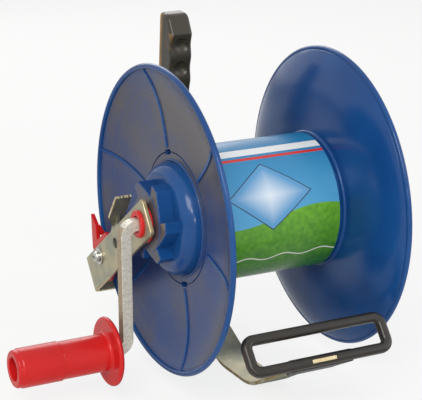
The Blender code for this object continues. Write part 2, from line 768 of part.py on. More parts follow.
def crank_arm(axis):
    """Square bar, bent twice, from the planet carrier to the handle."""
    corners = [(-CRANK_INNER_END, 0), (-CRANK_FACE, 0), (-CRANK_FACE, -CRANK_THROW),
               (-CRANK_END, -CRANK_THROW)]
    mesh = outline_mesh("crank_arm", [bent_bar(corners, CRANK_BEND, CRANK_BAR)], CRANK_BAR)
    arm = place("crank_arm", mesh, "galvanised_steel", axis, rotation=ACROSS_Y)
    round_edges(arm, CRANK_EDGE, 1)
    bottom = CRANK_INNER_END + CRANK_SCREW_DEPTH + 1
    cut(arm, cylinder("crank_thread", CRANK_SCREW_RADIUS + CLEARANCE, (-bottom, 0, 0),
                      (1 - CRANK_INNER_END, 0, 0), None, axis, SMALL_STEPS))


def crank_washer(axis):
    """Washer that keeps the crank from sliding out."""
    loops = [circle(CRANK_WASHER_RADIUS), circle(CRANK_SCREW_RADIUS + CLEARANCE, SMALL_STEPS)]
    plate("crank_washer", loops, -CRANK_WASHER_FACE, CRANK_WASHER - CRANK_WASHER_FACE,
          "bright_zinc", axis)


def crank_screw(axis):
    """Screw that holds the washer on the crank's end."""
    tip = CRANK_INNER_END + CRANK_SCREW_DEPTH
    top = CRANK_SCREW_FACE - CRANK_SCREW_HEAD
    profile = [(0, tip), (CRANK_SCREW_RADIUS, tip), (CRANK_SCREW_RADIUS, CRANK_SCREW_FACE),
               (CRANK_SCREW_HEAD_RADIUS, CRANK_SCREW_FACE), (CRANK_SCREW_HEAD_RADIUS, top), (0, top)]
    turned("crank_screw", mirrored(profile), "bright_zinc", axis, steps=SMALL_STEPS)


def crank_handle(axis):
    """Red handle that turns on the crank, with a flange for the hand."""
    barrel = HANDLE_START + HANDLE_FLANGE
    step = HANDLE_END - HANDLE_TIP_LENGTH
    half = HANDLE_FLANGE / 2
    corner = HANDLE_TIP_CORNER
    profile = [(HANDLE_BORE, HANDLE_START),
               *arc(half, -90, 90, 4, (HANDLE_FLANGE_RADIUS - half, HANDLE_START + half)),
               *arc(HANDLE_FILLET, 270, 180, 3, (HANDLE_RADIUS + HANDLE_FILLET, barrel + HANDLE_FILLET)),
               (HANDLE_RADIUS, step), (HANDLE_TIP_RADIUS, step + 0.5),
               *arc(corner, 0, 90, 3, (HANDLE_TIP_RADIUS - corner, HANDLE_END - corner)),
               (HANDLE_MOUTH, HANDLE_END), (HANDLE_MOUTH, HANDLE_SEAT), (HANDLE_BORE, HANDLE_SEAT)]
    turned("crank_handle", mirrored(profile), "red_plastic", axis)


def handle_clip(axis):
    """Push-on clip that keeps the handle on the crank."""
    loops = [circle(CLIP_RADIUS), rectangle(CRANK_BAR + CRANK_FIT, CRANK_BAR + CRANK_FIT)]
    plate("handle_clip", loops, -CLIP_FACE - CLIP_THICKNESS, -CLIP_FACE, "bright_zinc", axis)


def bearing_sleeve(axis):
    """Red bush clipped into the near arm: the crank turns in it and the spool on it."""
    lip_face = ARM_FACE + CLEARANCE
    outside = lip_face + SLEEVE_LIP
    corner = SLEEVE_LIP_CORNER
    flange_end = LATCH_FACE - SLEEVE_FLANGE
    profile = [(SLEEVE_BORE, outside),
               *arc(corner, 90, 0, 3, (SLEEVE_LIP_RADIUS - corner, outside - corner)),
               (SLEEVE_LIP_RADIUS, lip_face), (SLEEVE_RADIUS, lip_face), (SLEEVE_RADIUS, LATCH_FACE),
               (SLEEVE_FLANGE_RADIUS, LATCH_FACE), (SLEEVE_FLANGE_RADIUS, flange_end),
               (SLEEVE_RADIUS, flange_end), (SLEEVE_RADIUS, RING_WEB_END), (SLEEVE_BORE, RING_WEB_END)]
    sleeve = turned("bearing_sleeve", mirrored(profile), "red_plastic", axis)
    for name, side in (("front", -1), ("back", 1)):
        low, high = sorted((side * SLEEVE_FLAT, side * (SLEEVE_RADIUS + 1)))
        cut(sleeve, side_block(f"sleeve_{name}_flat", -1, RING_WEB_END - 1, RING_FACE + CLEARANCE,
                               (low, -SLEEVE_RADIUS), (high, SLEEVE_RADIUS), axis))


def rivet_places():
    """X of each rivet between the bar and the strip."""
    return -RIVET_SPACING / 2, RIVET_SPACING / 2


def frame_bar(plane):
    """Flat bar, bent to a C round the back of the spool."""
    side = ARM_FACE - BAR_THICKNESS / 2
    corners = [(-side, -ARM_OVERHANG), (-side, BAR_CENTRE), (side, BAR_CENTRE), (side, -ARM_OVERHANG)]
    mesh = outline_mesh("frame_bar", [bent_bar(corners, BAR_BEND, BAR_THICKNESS)], BAR_WIDTH)
    bar = place("frame_bar", mesh, "passivated_steel", plane)
    round_edges(bar, BAR_EDGE, 2)
    for name, side, radius, centre in (
            ("sleeve_hole", -1, SLEEVE_RADIUS + CLEARANCE, (0, 0)),
            ("stop_hole", -1, STOP_HOLE, STOP_HOLE_PLACE),
            ("pivot_hole", -1, PIVOT_RADIUS + CLEARANCE, PIVOT_PLACE),
            ("axle_hole", 1, AXLE_RADIUS + CLEARANCE, (0, 0))):
        cut(bar, cylinder(name, radius, (side * (ARM_INNER - 1), *centre),
                          (side * (ARM_FACE + 1), *centre), None, plane))
    for index, x in enumerate(rivet_places()):
        cut(bar, cylinder(f"bar_rivet_hole_{index + 1}", RIVET_RADIUS + CLEARANCE,
                          (x, BACK_FACE - BAR_THICKNESS - 1, 0), (x, BACK_FACE + 1, 0),
                          None, plane, SMALL_STEPS))


def frame_rivets(plane):
    """Two rivets through the bar and the strip."""
    inner = BACK_FACE - BAR_THICKNESS - CLEARANCE
    outer = STRIP_ON_BAR + STRIP_THICKNESS / 2 + CLEARANCE
    crown = RIVET_HEAD_RADIUS - 1
    profile = [(0, inner - RIVET_HEAD), (crown, inner - RIVET_HEAD), (RIVET_HEAD_RADIUS, inner),
               (RIVET_RADIUS, inner), (RIVET_RADIUS, outer), (RIVET_HEAD_RADIUS, outer),
               (crown, outer + RIVET_HEAD), (0, outer + RIVET_HEAD)]
    for index, x in enumerate(rivet_places()):
        turned(f"frame_rivet_{index + 1}", profile, "bright_zinc", plane, (x, 0, 0), ALONG_Y, SMALL_STEPS)


def in_frame_plane(along, across):
    """The (y, z) of a place in the plane of the frame."""
    return tuple(Matrix.Rotation(ARM_TILT, 2) @ Vector((along, across)))


def grip_direction():
    """Direction of the tang and the grip, as (y, z)."""
    return Vector((-math.sin(GRIP_LEAN), math.cos(GRIP_LEAN)))


def strip_corners():
    """Corners of the strip's centre line as (y, z), from the wire guide to the grip."""
    front = Vector((STRIP_FRONT_CORNER, STRIP_LEVEL))
    guide = Vector(GUIDE_PLACE)
    top_bend = Vector(in_frame_plane(STRIP_ON_BAR, STRIP_ABOVE_BAR))
    return [guide + (guide - front).normalized() * TONGUE_PROUD,
            front,
            Vector((STRIP_BACK_CORNER, STRIP_LEVEL)),
            Vector(in_frame_plane(STRIP_ON_BAR, -STRIP_BELOW_BAR)),
            top_bend,
            top_bend + grip_direction() * (GRIP_RISE + TANG_LENGTH)]


def spine_strip(axis, plane, tongue, grip):
    """Flat strip from the wire guide, under the spool, up into the grip."""
    outline = bent_bar(strip_corners(), STRIP_BEND, STRIP_THICKNESS)
    strip = place("spine_strip", outline_mesh("spine_strip", [outline], STRIP_WIDTH),
                  "passivated_steel", axis, rotation=ACROSS_X)
    outer = STRIP_WIDTH / 2 + 1
    thick = STRIP_THICKNESS
    for name, side in (("near", -1), ("far", 1)):
        cut(strip,
            side_block(f"{name}_tongue_side", side, TONGUE_WIDTH / 2, outer,
                       (-2 * TONGUE_PROUD, -thick), (GUIDE_BOSS_END + 2, thick), tongue),
            side_block(f"{name}_tang_side", side, TANG_WIDTH / 2, outer,
                       (-thick, -TANG_SHOULDER), (thick, TANG_LENGTH + 1), grip))
    for index, x in enumerate(rivet_places()):
        cut(strip, cylinder(f"strip_rivet_hole_{index + 1}", RIVET_RADIUS + CLEARANCE,
                            (x, BACK_FACE - 1, 0), (x, STRIP_ON_BAR + thick, 0),
                            None, plane, SMALL_STEPS))
    for index, height in enumerate(GRIP_SCREW_PLACES):
        cut(strip, cylinder(f"tang_screw_hole_{index + 1}", GRIP_SCREW_RADIUS + CLEARANCE,
                            (0, -thick, height), (0, thick, height), None, grip, SMALL_STEPS))


def far_axle(axis):
    """Short axle through the far arm."""
    seat = ARM_FACE + CLEARANCE
    end = seat + AXLE_HEAD
    corner = AXLE_HEAD_CORNER
    tip = ARM_INNER - AXLE_REACH
    profile = [(0, tip), (AXLE_RADIUS - 1, tip), (AXLE_RADIUS, tip + 1), (AXLE_RADIUS, seat),
               (AXLE_HEAD_RADIUS, seat),
               *arc(corner, 0, 90, 3, (AXLE_HEAD_RADIUS - corner, end - corner)), (0, end)]
    turned("far_axle", profile, "bright_zinc", axis)


def far_axle_nut(axis):
    """Nut that clamps the axle to the far arm."""
    loops = [circle(hexagon_radius(AXLE_NUT_FLATS), 6), circle(AXLE_RADIUS + CLEARANCE)]
    plate("far_axle_nut", loops, LATCH_FACE - AXLE_NUT, LATCH_FACE, "bright_zinc", axis)


def far_bush(axis):
    """Bush that carries the spool on the far axle."""
    bore = AXLE_RADIUS + CLEARANCE
    profile = [(bore, SPIGOT_END), (BUSH_RADIUS, SPIGOT_END), (BUSH_RADIUS, BUSH_SEAT),
               (BUSH_FLANGE_RADIUS, BUSH_SEAT), (BUSH_FLANGE_RADIUS, BUSH_SEAT + BUSH_FLANGE),
               (bore, BUSH_SEAT + BUSH_FLANGE)]
    turned("far_bush", profile, "red_plastic", axis)


def grip_outline():
    """Side view of the grip as (y, z): finger grooves in front, a slope at the top."""
    slope_start = GRIP_LENGTH - GRIP_SLOPE_LENGTH
    count = round(slope_start / GROOVE_PITCH * 8)
    front = []
    for index in range(count + 1):
        height = slope_start * index / count
        wave = math.cos(2 * math.pi * (slope_start - height) / GROOVE_PITCH)
        front.append((-GRIP_FRONT - GROOVE_DEPTH / 2 * wave, height))
    top_front = (GRIP_SLOPE_DEPTH - GRIP_FRONT, GRIP_LENGTH)
    return front + [top_front, (GRIP_BACK, GRIP_LENGTH), (GRIP_BACK, 0)]


def grip_tools(axis):
    """Cutters for the tang and the screws."""
    half_width = TANG_WIDTH / 2 + CLEARANCE
    half_thickness = STRIP_THICKNESS / 2 + CLEARANCE
    tools = [block("tang_pocket", (-half_width, -half_thickness, -1),
                   (half_width, half_thickness, TANG_LENGTH + CLEARANCE), None, axis)]
    seat = GRIP_BACK - GRIP_SCREW_SINK - GRIP_SCREW_HEAD - CLEARANCE
    for index, height in enumerate(GRIP_SCREW_PLACES):
        tools.append(cylinder(f"grip_screw_hole_{index + 1}", GRIP_SCREW_RADIUS + CLEARANCE,
                              (0, -GRIP_SCREW_REACH - CLEARANCE, height), (0, seat + 1, height),
                              None, axis, SMALL_STEPS))
        tools.append(cylinder(f"grip_screw_seat_{index + 1}", GRIP_SCREW_HEAD_RADIUS + CLEARANCE,
                              (0, seat, height), (0, GRIP_BACK + 1, height), None, axis, SMALL_STEPS))
    return tools


def grip_halves(axis):
    """The grip in two halves, in front of and behind the middle of the tang."""
    tools = grip_tools(axis)
    for name, side in (("grip_front", -1), ("grip_back", 1)):
        half = plate(name, [grip_outline()], -GRIP_WIDTH / 2, GRIP_WIDTH / 2, "grip_plastic", axis)
        round_edges(half, GRIP_ROUNDING, 3)
        near, far = sorted((side * CLEARANCE / 2, side * 2 * GRIP_FRONT))
        keep(half, block(f"{name}_side", (-GRIP_WIDTH, near, -1), (GRIP_WIDTH, far, GRIP_LENGTH + 1),
                         None, axis))
        cut(half, *tools)


def grip_screws(axis):
    """Two screws from the back, through the tang, into the front half."""
    top = GRIP_BACK - GRIP_SCREW_SINK
    seat = top - GRIP_SCREW_HEAD
    profile = [(0, -GRIP_SCREW_REACH), (GRIP_SCREW_RADIUS, -GRIP_SCREW_REACH),
               (GRIP_SCREW_RADIUS, seat), (GRIP_SCREW_HEAD_RADIUS, seat),
               (GRIP_SCREW_HEAD_RADIUS, top), (0, top)]
    for index, height in enumerate(GRIP_SCREW_PLACES):
        turned(f"grip_screw_{index + 1}", profile, "bright_zinc", axis, (0, 0, height), ALONG_Y,
               SMALL_STEPS)


def wire_guide(guide, tongue):
    """Loop that leads the wire, with a boss on the tongue of the strip."""
    loops = [rectangle(GUIDE_HOLE_LENGTH + 2 * GUIDE_BAR, GUIDE_HOLE_HEIGHT + 2 * GUIDE_BAR, GUIDE_CORNER),
             rectangle(GUIDE_HOLE_LENGTH, GUIDE_HOLE_HEIGHT, GUIDE_HOLE_CORNER, 4)]
    rise = (GUIDE_HOLE_HEIGHT + GUIDE_BAR) / 2
    loop = place("wire_guide", outline_mesh("wire_guide", loops, GUIDE_BAR), "black_plastic",
                 guide, (0, 0, rise), ACROSS_Y)
    round_edges(loop, GUIDE_ROUNDING, 2)
    half_width, half_thickness = GUIDE_BOSS_WIDTH / 2, GUIDE_BOSS_THICKNESS / 2
    fuse(loop, block("guide_boss", (-half_width, GUIDE_BOSS_START, -half_thickness),
                     (half_width, GUIDE_BOSS_END, half_thickness), None, tongue))
    half_width = TONGUE_WIDTH / 2 + CLEARANCE
    half_thickness = STRIP_THICKNESS / 2 + CLEARANCE
    cut(loop, block("tongue_slot", (-half_width, -2 * GUIDE_BAR, -half_thickness),
                    (half_width, GUIDE_BOSS_END + 1, half_thickness), None, tongue))


def latch_screw(axis):
    """Screw that the latch turns on."""
    seat = ARM_FACE + 2 * CLEARANCE + WASHER_THICKNESS
    outside = seat + SCREW_HEAD
    end = NUT_END - SCREW_PROUD
    corner = SCREW_HEAD / 2
    profile = [(0, end), (PIVOT_RADIUS, end), (PIVOT_RADIUS, seat), (SCREW_HEAD_RADIUS, seat),
               *arc(corner, 0, 90, 4, (SCREW_HEAD_RADIUS - corner, outside - corner)), (0, outside)]
    turned("latch_screw", mirrored(profile), "bright_zinc", axis, steps=24)


def latch_washer(axis):
    """Washer under the screw's head."""
    seat = ARM_FACE + CLEARANCE
    loops = [circle(WASHER_RADIUS), circle(PIVOT_RADIUS + CLEARANCE, 24)]
    plate("latch_washer", loops, -seat - WASHER_THICKNESS, -seat, "bright_zinc", axis)


def latch_nut(axis):
    """Nut that closes the latch's screw."""
    loops = [circle(hexagon_radius(LATCH_NUT_FLATS), 6), circle(PIVOT_RADIUS + CLEARANCE, 24)]
    plate("latch_nut", loops, -NUT_FACE, -NUT_END, "bright_zinc", axis)


def latch_lever(axis):
    """Red lever for the thumb, with a hub against the arm and a peg into the pawl."""
    lever = plate("latch_lever", [LEVER_OUTLINE], -LEVER_FACE, -LEVER_BACK, "red_plastic", axis)
    round_edges(lever, LEVER_EDGE, 1)
    fuse(lever,
         cylinder("lever_hub", LEVER_HUB_RADIUS, (-LATCH_FACE, 0, 0), (1 - LEVER_FACE, 0, 0), None, axis),
         plate("lever_rib", [LEVER_RIB], -LEVER_BACK - 1, LEVER_RIB_DEPTH - LEVER_BACK, None, axis),
         cylinder("lever_peg", PEG_RADIUS, (-LEVER_BACK - 1, *PEG_PLACE), (-LEG_BACK, *PEG_PLACE),
                  None, axis, SMALL_STEPS))
    cut(lever, cylinder("lever_bore", PIVOT_RADIUS + CLEARANCE, (-LATCH_FACE - 1, 0, 0),
                        (1 - LEVER_BACK, 0, 0), None, axis, 24))


def pawl_leg_outline():
    """The pawl's leg about its pivot: an eye, and a neck that widens to meet the tab."""
    up = Vector((math.cos(PAWL_TILT), math.sin(PAWL_TILT)))
    outward = -to_left(up) * PAWL_THICKNESS / 2
    top = Vector(PAWL_BASE) + up * PAWL_LEG_OVERLAP
    foot = Vector(PAWL_BASE) - up * PAWL_FOOT
    neck = [foot + outward, top + outward, top - outward]
    return [tuple(point) for point in neck] + arc(PAWL_EYE, 170, 375, 12)


def latch_pawl(axis):
    """Steel pawl: a leg on the pivot, and a tab across it that drops behind a tooth."""
    pawl = plate("latch_pawl", [pawl_leg_outline()], -LEG_FACE, -LEG_BACK, "passivated_steel", axis)
    outline = [(-PAWL_FOOT, -PAWL_REACH), (PAWL_LENGTH, -PAWL_REACH), (PAWL_LENGTH, -LATCH_FACE),
               (0, -LATCH_FACE), (-PAWL_FOOT, -LEG_FACE)]
    up_then_x = Matrix(((0, 1, 0), (1, 0, 0), (0, 0, -1)))
    turn = Matrix.Rotation(PAWL_TILT, 3, "X") @ up_then_x
    fuse(pawl, place("pawl_tab", outline_mesh("pawl_tab", [outline], PAWL_THICKNESS), None, axis,
                     (0, *PAWL_BASE), turn.to_euler()))
    cut(pawl,
        cylinder("pawl_bore", PIVOT_RADIUS + CLEARANCE, (-LEG_FACE - 1, 0, 0), (1 - LEG_BACK, 0, 0),
                 None, axis, 24),
        cylinder("peg_hole", PEG_RADIUS + CLEARANCE, (-LEG_FACE - 1, *PEG_PLACE),
                 (1 - LEG_BACK, *PEG_PLACE), None, axis, SMALL_STEPS))


def build_spool(axis):
    """Pieces that turn with the spool."""
    notches = add_notches(axis)
    near_flange(axis, notches)
    far_flange(axis)
    drum(axis)
    label_sleeve(axis)
    gear_cover(axis, notches)
    sun_gear(axis)
    far_bush(axis)


def build_crank(axis):
    """Pieces that turn with the crank, and the planets and the handle on it."""
    planet_carrier(axis)
    planet_pins(axis)
    planet_gears(axis)
    crank_arm(axis)
    crank_washer(axis)
    crank_screw(axis)
    handle_axis = add_axis("handle_axis", axis, (0, 0, -CRANK_THROW))
    handle_clip(handle_axis)
    crank_handle(handle_axis)


def build_frame(axis):
    """The bar, the strip, and all that they carry."""
    corners = strip_corners()
    along_tongue = corners[1] - corners[0]
    top_bend = corners[4]
    plane = add_axis("frame_plane", axis, tilt=ARM_TILT)
    tongue = add_axis("tongue_axis", axis, (0, *GUIDE_PLACE), math.atan2(along_tongue.y, along_tongue.x))
    guide = add_axis("guide_axis", axis, (0, *GUIDE_PLACE), GUIDE_LEAN)
    grip = add_axis("grip_axis", axis, (0, *(top_bend + grip_direction() * GRIP_RISE)), GRIP_LEAN)
    frame_bar(plane)
    frame_rivets(plane)
    spine_strip(axis, plane, tongue, grip)
    bearing_sleeve(axis)
    ring_gear(axis)
    far_axle(axis)
    far_axle_nut(axis)
    grip_halves(grip)
    grip_screws(grip)
    wire_guide(guide, tongue)


def build_latch(axis):
    """The latch on its screw."""
    pivot = add_axis("latch_axis", axis, (0, *in_frame_plane(*PIVOT_PLACE)))
    latch_screw(pivot)
    latch_washer(pivot)
    latch_lever(pivot)
    latch_pawl(pivot)
    latch_nut(pivot)


def main():
    clear_scene()
    make_collections()
    make_materials()
    reel_axis = add_axis("reel_axis", location=(0, 0, STRIP_BOTTOM))
    build_spool(reel_axis)
    build_crank(reel_axis)
    build_frame(reel_axis)
    build_latch(reel_axis)


if __name__ == "__main__":
    main()
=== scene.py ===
"""Looks of the fence wire reel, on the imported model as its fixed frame.

Every visible piece is modelled over its CAD node and rides on that node's
body. Sizes are in millimetres and become metres in the helpers. Pieces are
modelled about the spool's axis, which lies along X, and are raised to its
height when they are finished. The crank is on the -X side, the wire guide
points to -Y and the pistol grip stands at +Y.
"""
import math

import bpy
from mathutils import Matrix, Vector


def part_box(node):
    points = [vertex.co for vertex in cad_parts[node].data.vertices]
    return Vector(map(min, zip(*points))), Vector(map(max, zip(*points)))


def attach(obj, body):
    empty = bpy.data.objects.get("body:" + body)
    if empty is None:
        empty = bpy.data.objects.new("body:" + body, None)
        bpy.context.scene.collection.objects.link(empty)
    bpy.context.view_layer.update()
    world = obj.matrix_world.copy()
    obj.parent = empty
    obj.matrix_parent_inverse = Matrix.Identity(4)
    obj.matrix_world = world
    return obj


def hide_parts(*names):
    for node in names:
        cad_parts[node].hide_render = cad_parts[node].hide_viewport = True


bl_info = {
    "name": "Fence wire reel",
    "version": (1, 0, 0),
    "blender": (4, 5, 0),
    "location": "View3D > Sidebar > Wire reel",
    "description": "Models and paints a hand-cranked reel for fence wire",
    "category": "Add Mesh",
}

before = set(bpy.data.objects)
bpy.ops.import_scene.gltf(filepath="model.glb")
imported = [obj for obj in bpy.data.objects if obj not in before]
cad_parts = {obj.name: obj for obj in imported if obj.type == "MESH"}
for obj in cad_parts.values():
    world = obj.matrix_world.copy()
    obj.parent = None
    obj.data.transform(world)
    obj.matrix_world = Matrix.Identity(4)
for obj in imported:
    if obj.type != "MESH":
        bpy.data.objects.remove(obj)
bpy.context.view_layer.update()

MM = 0.001


def node_box(node):
    """Lowest and highest corner of a CAD node, in millimetres."""
    low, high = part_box(node)
    return Vector(low) / MM, Vector(high) / MM


def across(node, axis):
    """Size of a CAD node along one axis."""
    low, high = node_box(node)
    return high[axis] - low[axis]


# Places and sizes that come from the frame
AXIS = (node_box("drum")[0].z + node_box("drum")[1].z) / 2
RIM_RADIUS = across("far_flange", 2) / 2
DRUM_RADIUS = across("drum", 2) / 2
LABEL_RADIUS = across("label_sleeve", 2) / 2
RATCHET_FACE = -node_box("gear_cover")[0].x
SPIGOT_END = node_box("far_flange")[0].x
BOSS_END = node_box("far_flange")[1].x
SLEEVE_OUTSIDE = -node_box("bearing_sleeve")[0].x
SLEEVE_INSIDE = -node_box("bearing_sleeve")[1].x
ARM_FACE = -node_box("frame_bar")[0].x
STRIP_WIDTH = across("spine_strip", 0)
CRANK_START = -node_box("crank_arm")[1].x
CRANK_END = -node_box("crank_arm")[0].x
CRANK_BAR = across("crank_arm", 1)
HANDLE_START = -node_box("crank_handle")[1].x
HANDLE_END = -node_box("crank_handle")[0].x
HANDLE_FLANGE_RADIUS = across("crank_handle", 2) / 2
CRANK_THROW = AXIS - (node_box("crank_handle")[0].z + node_box("crank_handle")[1].z) / 2

GAP = 0.3
CHAMFER = 0.4
WELD = 0.0005
RECESS_WIDTH = 1.1

# Spool
FLANGE_FACE = 70.8
FLANGE_FLARE = 15.4
FLARE_POWER = 3.2
FLANGE_WALL = 3.0
FLARE_START = 60.0
BEAD_RADIUS = 2.6
BEAD_CENTRE = (RIM_RADIUS - BEAD_RADIUS, FLANGE_FACE + FLANGE_FLARE - 0.7)
RIM_GROOVE = ((0.0, 0.1), (-0.7, -0.5), (-1.7, -0.6))
GROOVE_WIDTH = 2.8
SKIN_BAND = (-1.2, 0.4)
DRUM_END = 65.0
DISC_END = 62.4
HUB_BACK = DRUM_END + GAP
HUB_RADIUS = 61.0
HUB_ROUND = 2.4
DRUM_WALL = 3.0
DRUM_WEB = (59.0, 62.0)
SUN_HEXAGON = 26.6
SPIGOT_RADIUS = DRUM_RADIUS - DRUM_WALL - GAP
SPIGOT_WALL = 2.7
RIB_COUNT = 6
RIB_START = 62.5
RIB_PHASE = math.radians(-15)
LABEL_ENDS = (-64.7, 62.3)
LABEL_CHAMFER = 0.15
BOSS_RADIUS = 17.0
BOSS_BORE = 10.0

# Cover and ratchet
COVER_RADIUS = 59.5
COVER_WALL = 3.0
COVER_BACK = FLANGE_FACE - COVER_WALL
SEAM_DEPTH = 1.6
NOTCH = (11.0, 4.6)
NOTCH_DEPTH = 4.8
DOME_RADIUS = 51.7
DOME_TOP_RADIUS = 40.0
DOME_HEIGHT = 14.6
DOME_FACE = FLANGE_FACE + DOME_HEIGHT
RATCHET_RADIUS = 38.0
RATCHET_ROOT = 27.0
RATCHET_TEETH = 6
RATCHET_LAND = 16.0
RATCHET_PHASE = 45.0
RATCHET_SET_BACK = 0.4
HUB_TUBE_RADIUS = 26.5
HUB_BORE = 11.9

# Bearings
SLEEVE_RADIUS = 11.5
SLEEVE_BORE = 7.4
SLEEVE_LIP_RADIUS = 12.4
SLEEVE_FLANGE = (100.7, 102.7)
SLEEVE_FLANGE_RADIUS = 17.5
SLEEVE_FLAT = 9.8
SLEEVE_FLAT_END = 82.4
AXLE_RADIUS = 6.0
AXLE_END = 63.0
AXLE_HEAD = (107.3, 113.3)
AXLE_HEAD_RADIUS = 10.0
AXLE_NUT = (95.7, 102.7)
AXLE_NUT_FLATS = 19.0
BUSH_RADIUS = 9.7
BUSH_FLANGE = (92.3, 94.2)
BUSH_FLANGE_RADIUS = 13.0

# Frame bar, whose plane is turned about the spool's axis
FRAME_TILT = math.radians(-35.7)
BAR_THICKNESS = 4.0
BAR_WIDTH = 34.0
BAR_BEND = 6.0
BACK_FACE = 146.5
ARM_OVERHANG = 19.0
SLEEVE_HOLE = 11.8
STOP_HOLE = 5.0
STOP_HOLE_PLACE = (63.3, 4.5)
PIVOT_PLACE = (107.1, 6.8)
PIVOT_HOLE = 3.3
RIVET_PLACES = (-8.0, 8.0)
RIVET_RADIUS = 2.5
RIVET_HEAD = 1.6
RIVET_HEAD_RADIUS = 5.0

# Strip, wire guide and grip
STRIP_THICKNESS = 3.5
STRIP_BENDS = (60.0, 60.0, 24.0, 24.0)
STRIP_LEVEL = STRIP_THICKNESS / 2 - AXIS
STRIP_FRONT_CORNER = -37.0
STRIP_BACK_CORNER = 24.0
STRIP_ON_BAR = BACK_FACE + GAP + STRIP_THICKNESS / 2
STRIP_BELOW_BAR = 46.0
STRIP_ABOVE_BAR = 67.0
TONGUE_WIDTH = 24.0
TONGUE_PROUD = 4.2
TANG_WIDTH = 16.0
TANG_SHOULDER = 8.0
TANG_LENGTH = 116.0
GUIDE_PLACE = (-138.7, -99.1)
GUIDE_LEAN = math.radians(-38.8)
GUIDE_HOLE = (124.0, 19.6)
GUIDE_BAR = 9.0
GUIDE_CORNER = 11.5
GUIDE_HOLE_CORNER = 3.5
BOSS_FOOT = 31.0
BOSS_NECK = 23.0
BOSS_REACH = (1.5, 28.0)
BOSS_THICKNESS = 11.0
GRIP_LEAN = math.radians(5.33)
GRIP_RISE = 64.5
GRIP_LENGTH = 125.0
GRIP_WIDTH = 23.0
GRIP_FRONT = 13.5
GRIP_BACK = 13.0
GRIP_EDGE = 3.2
GRIP_FOOT_EDGE = 2.4
GROOVE_PITCH = 23.0
GROOVE_WAVE = 0.9
GROOVE_COUNT = 4
SCOOP = (10.0, 8.0, 9.0)
GRIP_SLOPE_LENGTH = 17.0
GRIP_SLOPE_DEPTH = 9.0
GRIP_SCREW_PLACES = (30.0, 95.0)
GRIP_SCREW_RADIUS = 2.0
GRIP_SCREW_REACH = 9.0
GRIP_SCREW_HEAD = 2.6
GRIP_SCREW_HEAD_RADIUS = 3.6
GRIP_SCREW_SINK = 0.8

# Crank and handle
CRANK_FACE = 121.5
CRANK_BEND = 10.0
CRANK_THREAD = (2.8, 12.0)
HANDLE_FLANGE = 5.0
HANDLE_RADIUS = 17.0
HANDLE_TIP_RADIUS = 17.8
HANDLE_TIP_LENGTH = 43.0
HANDLE_FILLET = 3.0
HANDLE_BORE = 7.5
HANDLE_MOUTH = 10.6
HANDLE_SEAT = 200.0
CLIP = (200.3, 201.8)
CLIP_RADIUS = 10.0
CLIP_SQUARE = 10.4

# Latch
LATCH_FACE = 102.7
LEVER = (99.6, 95.6)
LEVER_HUB_RADIUS = 8.0
LEVER_RIB_END = 89.1
LEVER_OUTLINE = [
    (34.5, -2.6), (37.0, 30.6), (26.0, 22.0), (23.6, 8.6), (4.5, 21.0),
    (-9.0, 18.0), (-20.7, -6.0), (-2.7, -25.5), (0.7, -24.0), (20.0, -16.0)]
LEVER_GUSSET = ((-27.3, -24.8), (12.0, 22.5))
PEG_PLACE = (-4.6, 14.5)
PEG_RADIUS = 2.2
PAWL_LEG = (95.3, 92.5)
PAWL_THICKNESS = 2.8
PAWL_EYE = 9.5
PAWL_BASE = (-13.3, 40.9)
PAWL_TILT = math.radians(125.8)
PAWL_OVERLAP = 6.0
PAWL_LENGTH = 29.4
PAWL_FOOT = 14.0
PAWL_REACH = 87.0
PIVOT_RADIUS = 3.0
LATCH_NUT = (92.2, 87.8)
LATCH_NUT_FLATS = 10.0
LATCH_SCREW_END = 87.4
LATCH_WASHER = (107.3, 108.5)
WASHER_RADIUS = 7.8
LATCH_SCREW_HEAD = (108.8, 112.8)
LATCH_SCREW_HEAD_RADIUS = 5.2
TEAR_DEPTH = 0.35
TEAR_WAVE = 2.4
TEAR_STEPS = 14

# Print on the label. Hills and wave have a length, a rise and a level, stripes a level and a half width
LABEL_TURN = math.radians(18.4)
SKY_SPAN = (-20.0, 62.0)
GRASS_SPAN = (-75.0, -5.0)
HILLS = (27.0, 7.0, -12.0)
WAVE = (6.0, 2.2, -52.0)
WAVE_LINE = 0.7
LOZENGE_MIDDLE = (-6.0, 8.0)
LOZENGE_REACH = (44.0, 33.0)
LOZENGE_FILL = 0.92
LOZENGE_LINE = (0.93, 0.018)
WHITE_STRIPE = (56.0, 4.6)
RED_STRIPE = (46.5, 1.6)

# Where the grip gets its painted glow, for light through its thin edges: towards its sides, back and front,
# and about its shoulder's height
GLOW_SIDES = (9.2, 11.4)
GLOW_BACK = (4.0, 9.0)
GLOW_FRONT = (0.0, -7.0)
GLOW_SHOULDER = (101.0, 8.0)

# Camera, aimed at a place right and up of the spool's middle, and lamps in metres and watts
CAMERA_LENS = 136.39
CAMERA_AIM = (-31.85, 6.75)
CAMERA_ROLL = math.radians(-0.28)
LAMPS = (
    ("key_lamp", (-1.1, -1.3, 1.5), 0.9, 22.0, "fffaf2"),
    ("fill_lamp", (1.6, -1.2, 0.9), 1.2, 8.0, "f4f8ff"),
    ("rear_lamp", (0.3, 1.7, 1.2), 1.2, 10.0, "ffffff"),
    ("high_glint", (-0.9, -1.9, 1.2), 0.14, 4.0, "ffffff"),
    ("low_glint", (-0.5, -2.1, 0.55), 0.12, 3.0, "ffffff"))

# The floor's size in metres and its drop below the reel in millimetres, its brightness to the camera,
# and the brightness of the surroundings as light and as seen
FLOOR_SIZE = 14.0
FLOOR_DROP = 0.2
FLOOR_GLOW = 0.8
SURROUNDINGS = (0.45, 1.0)

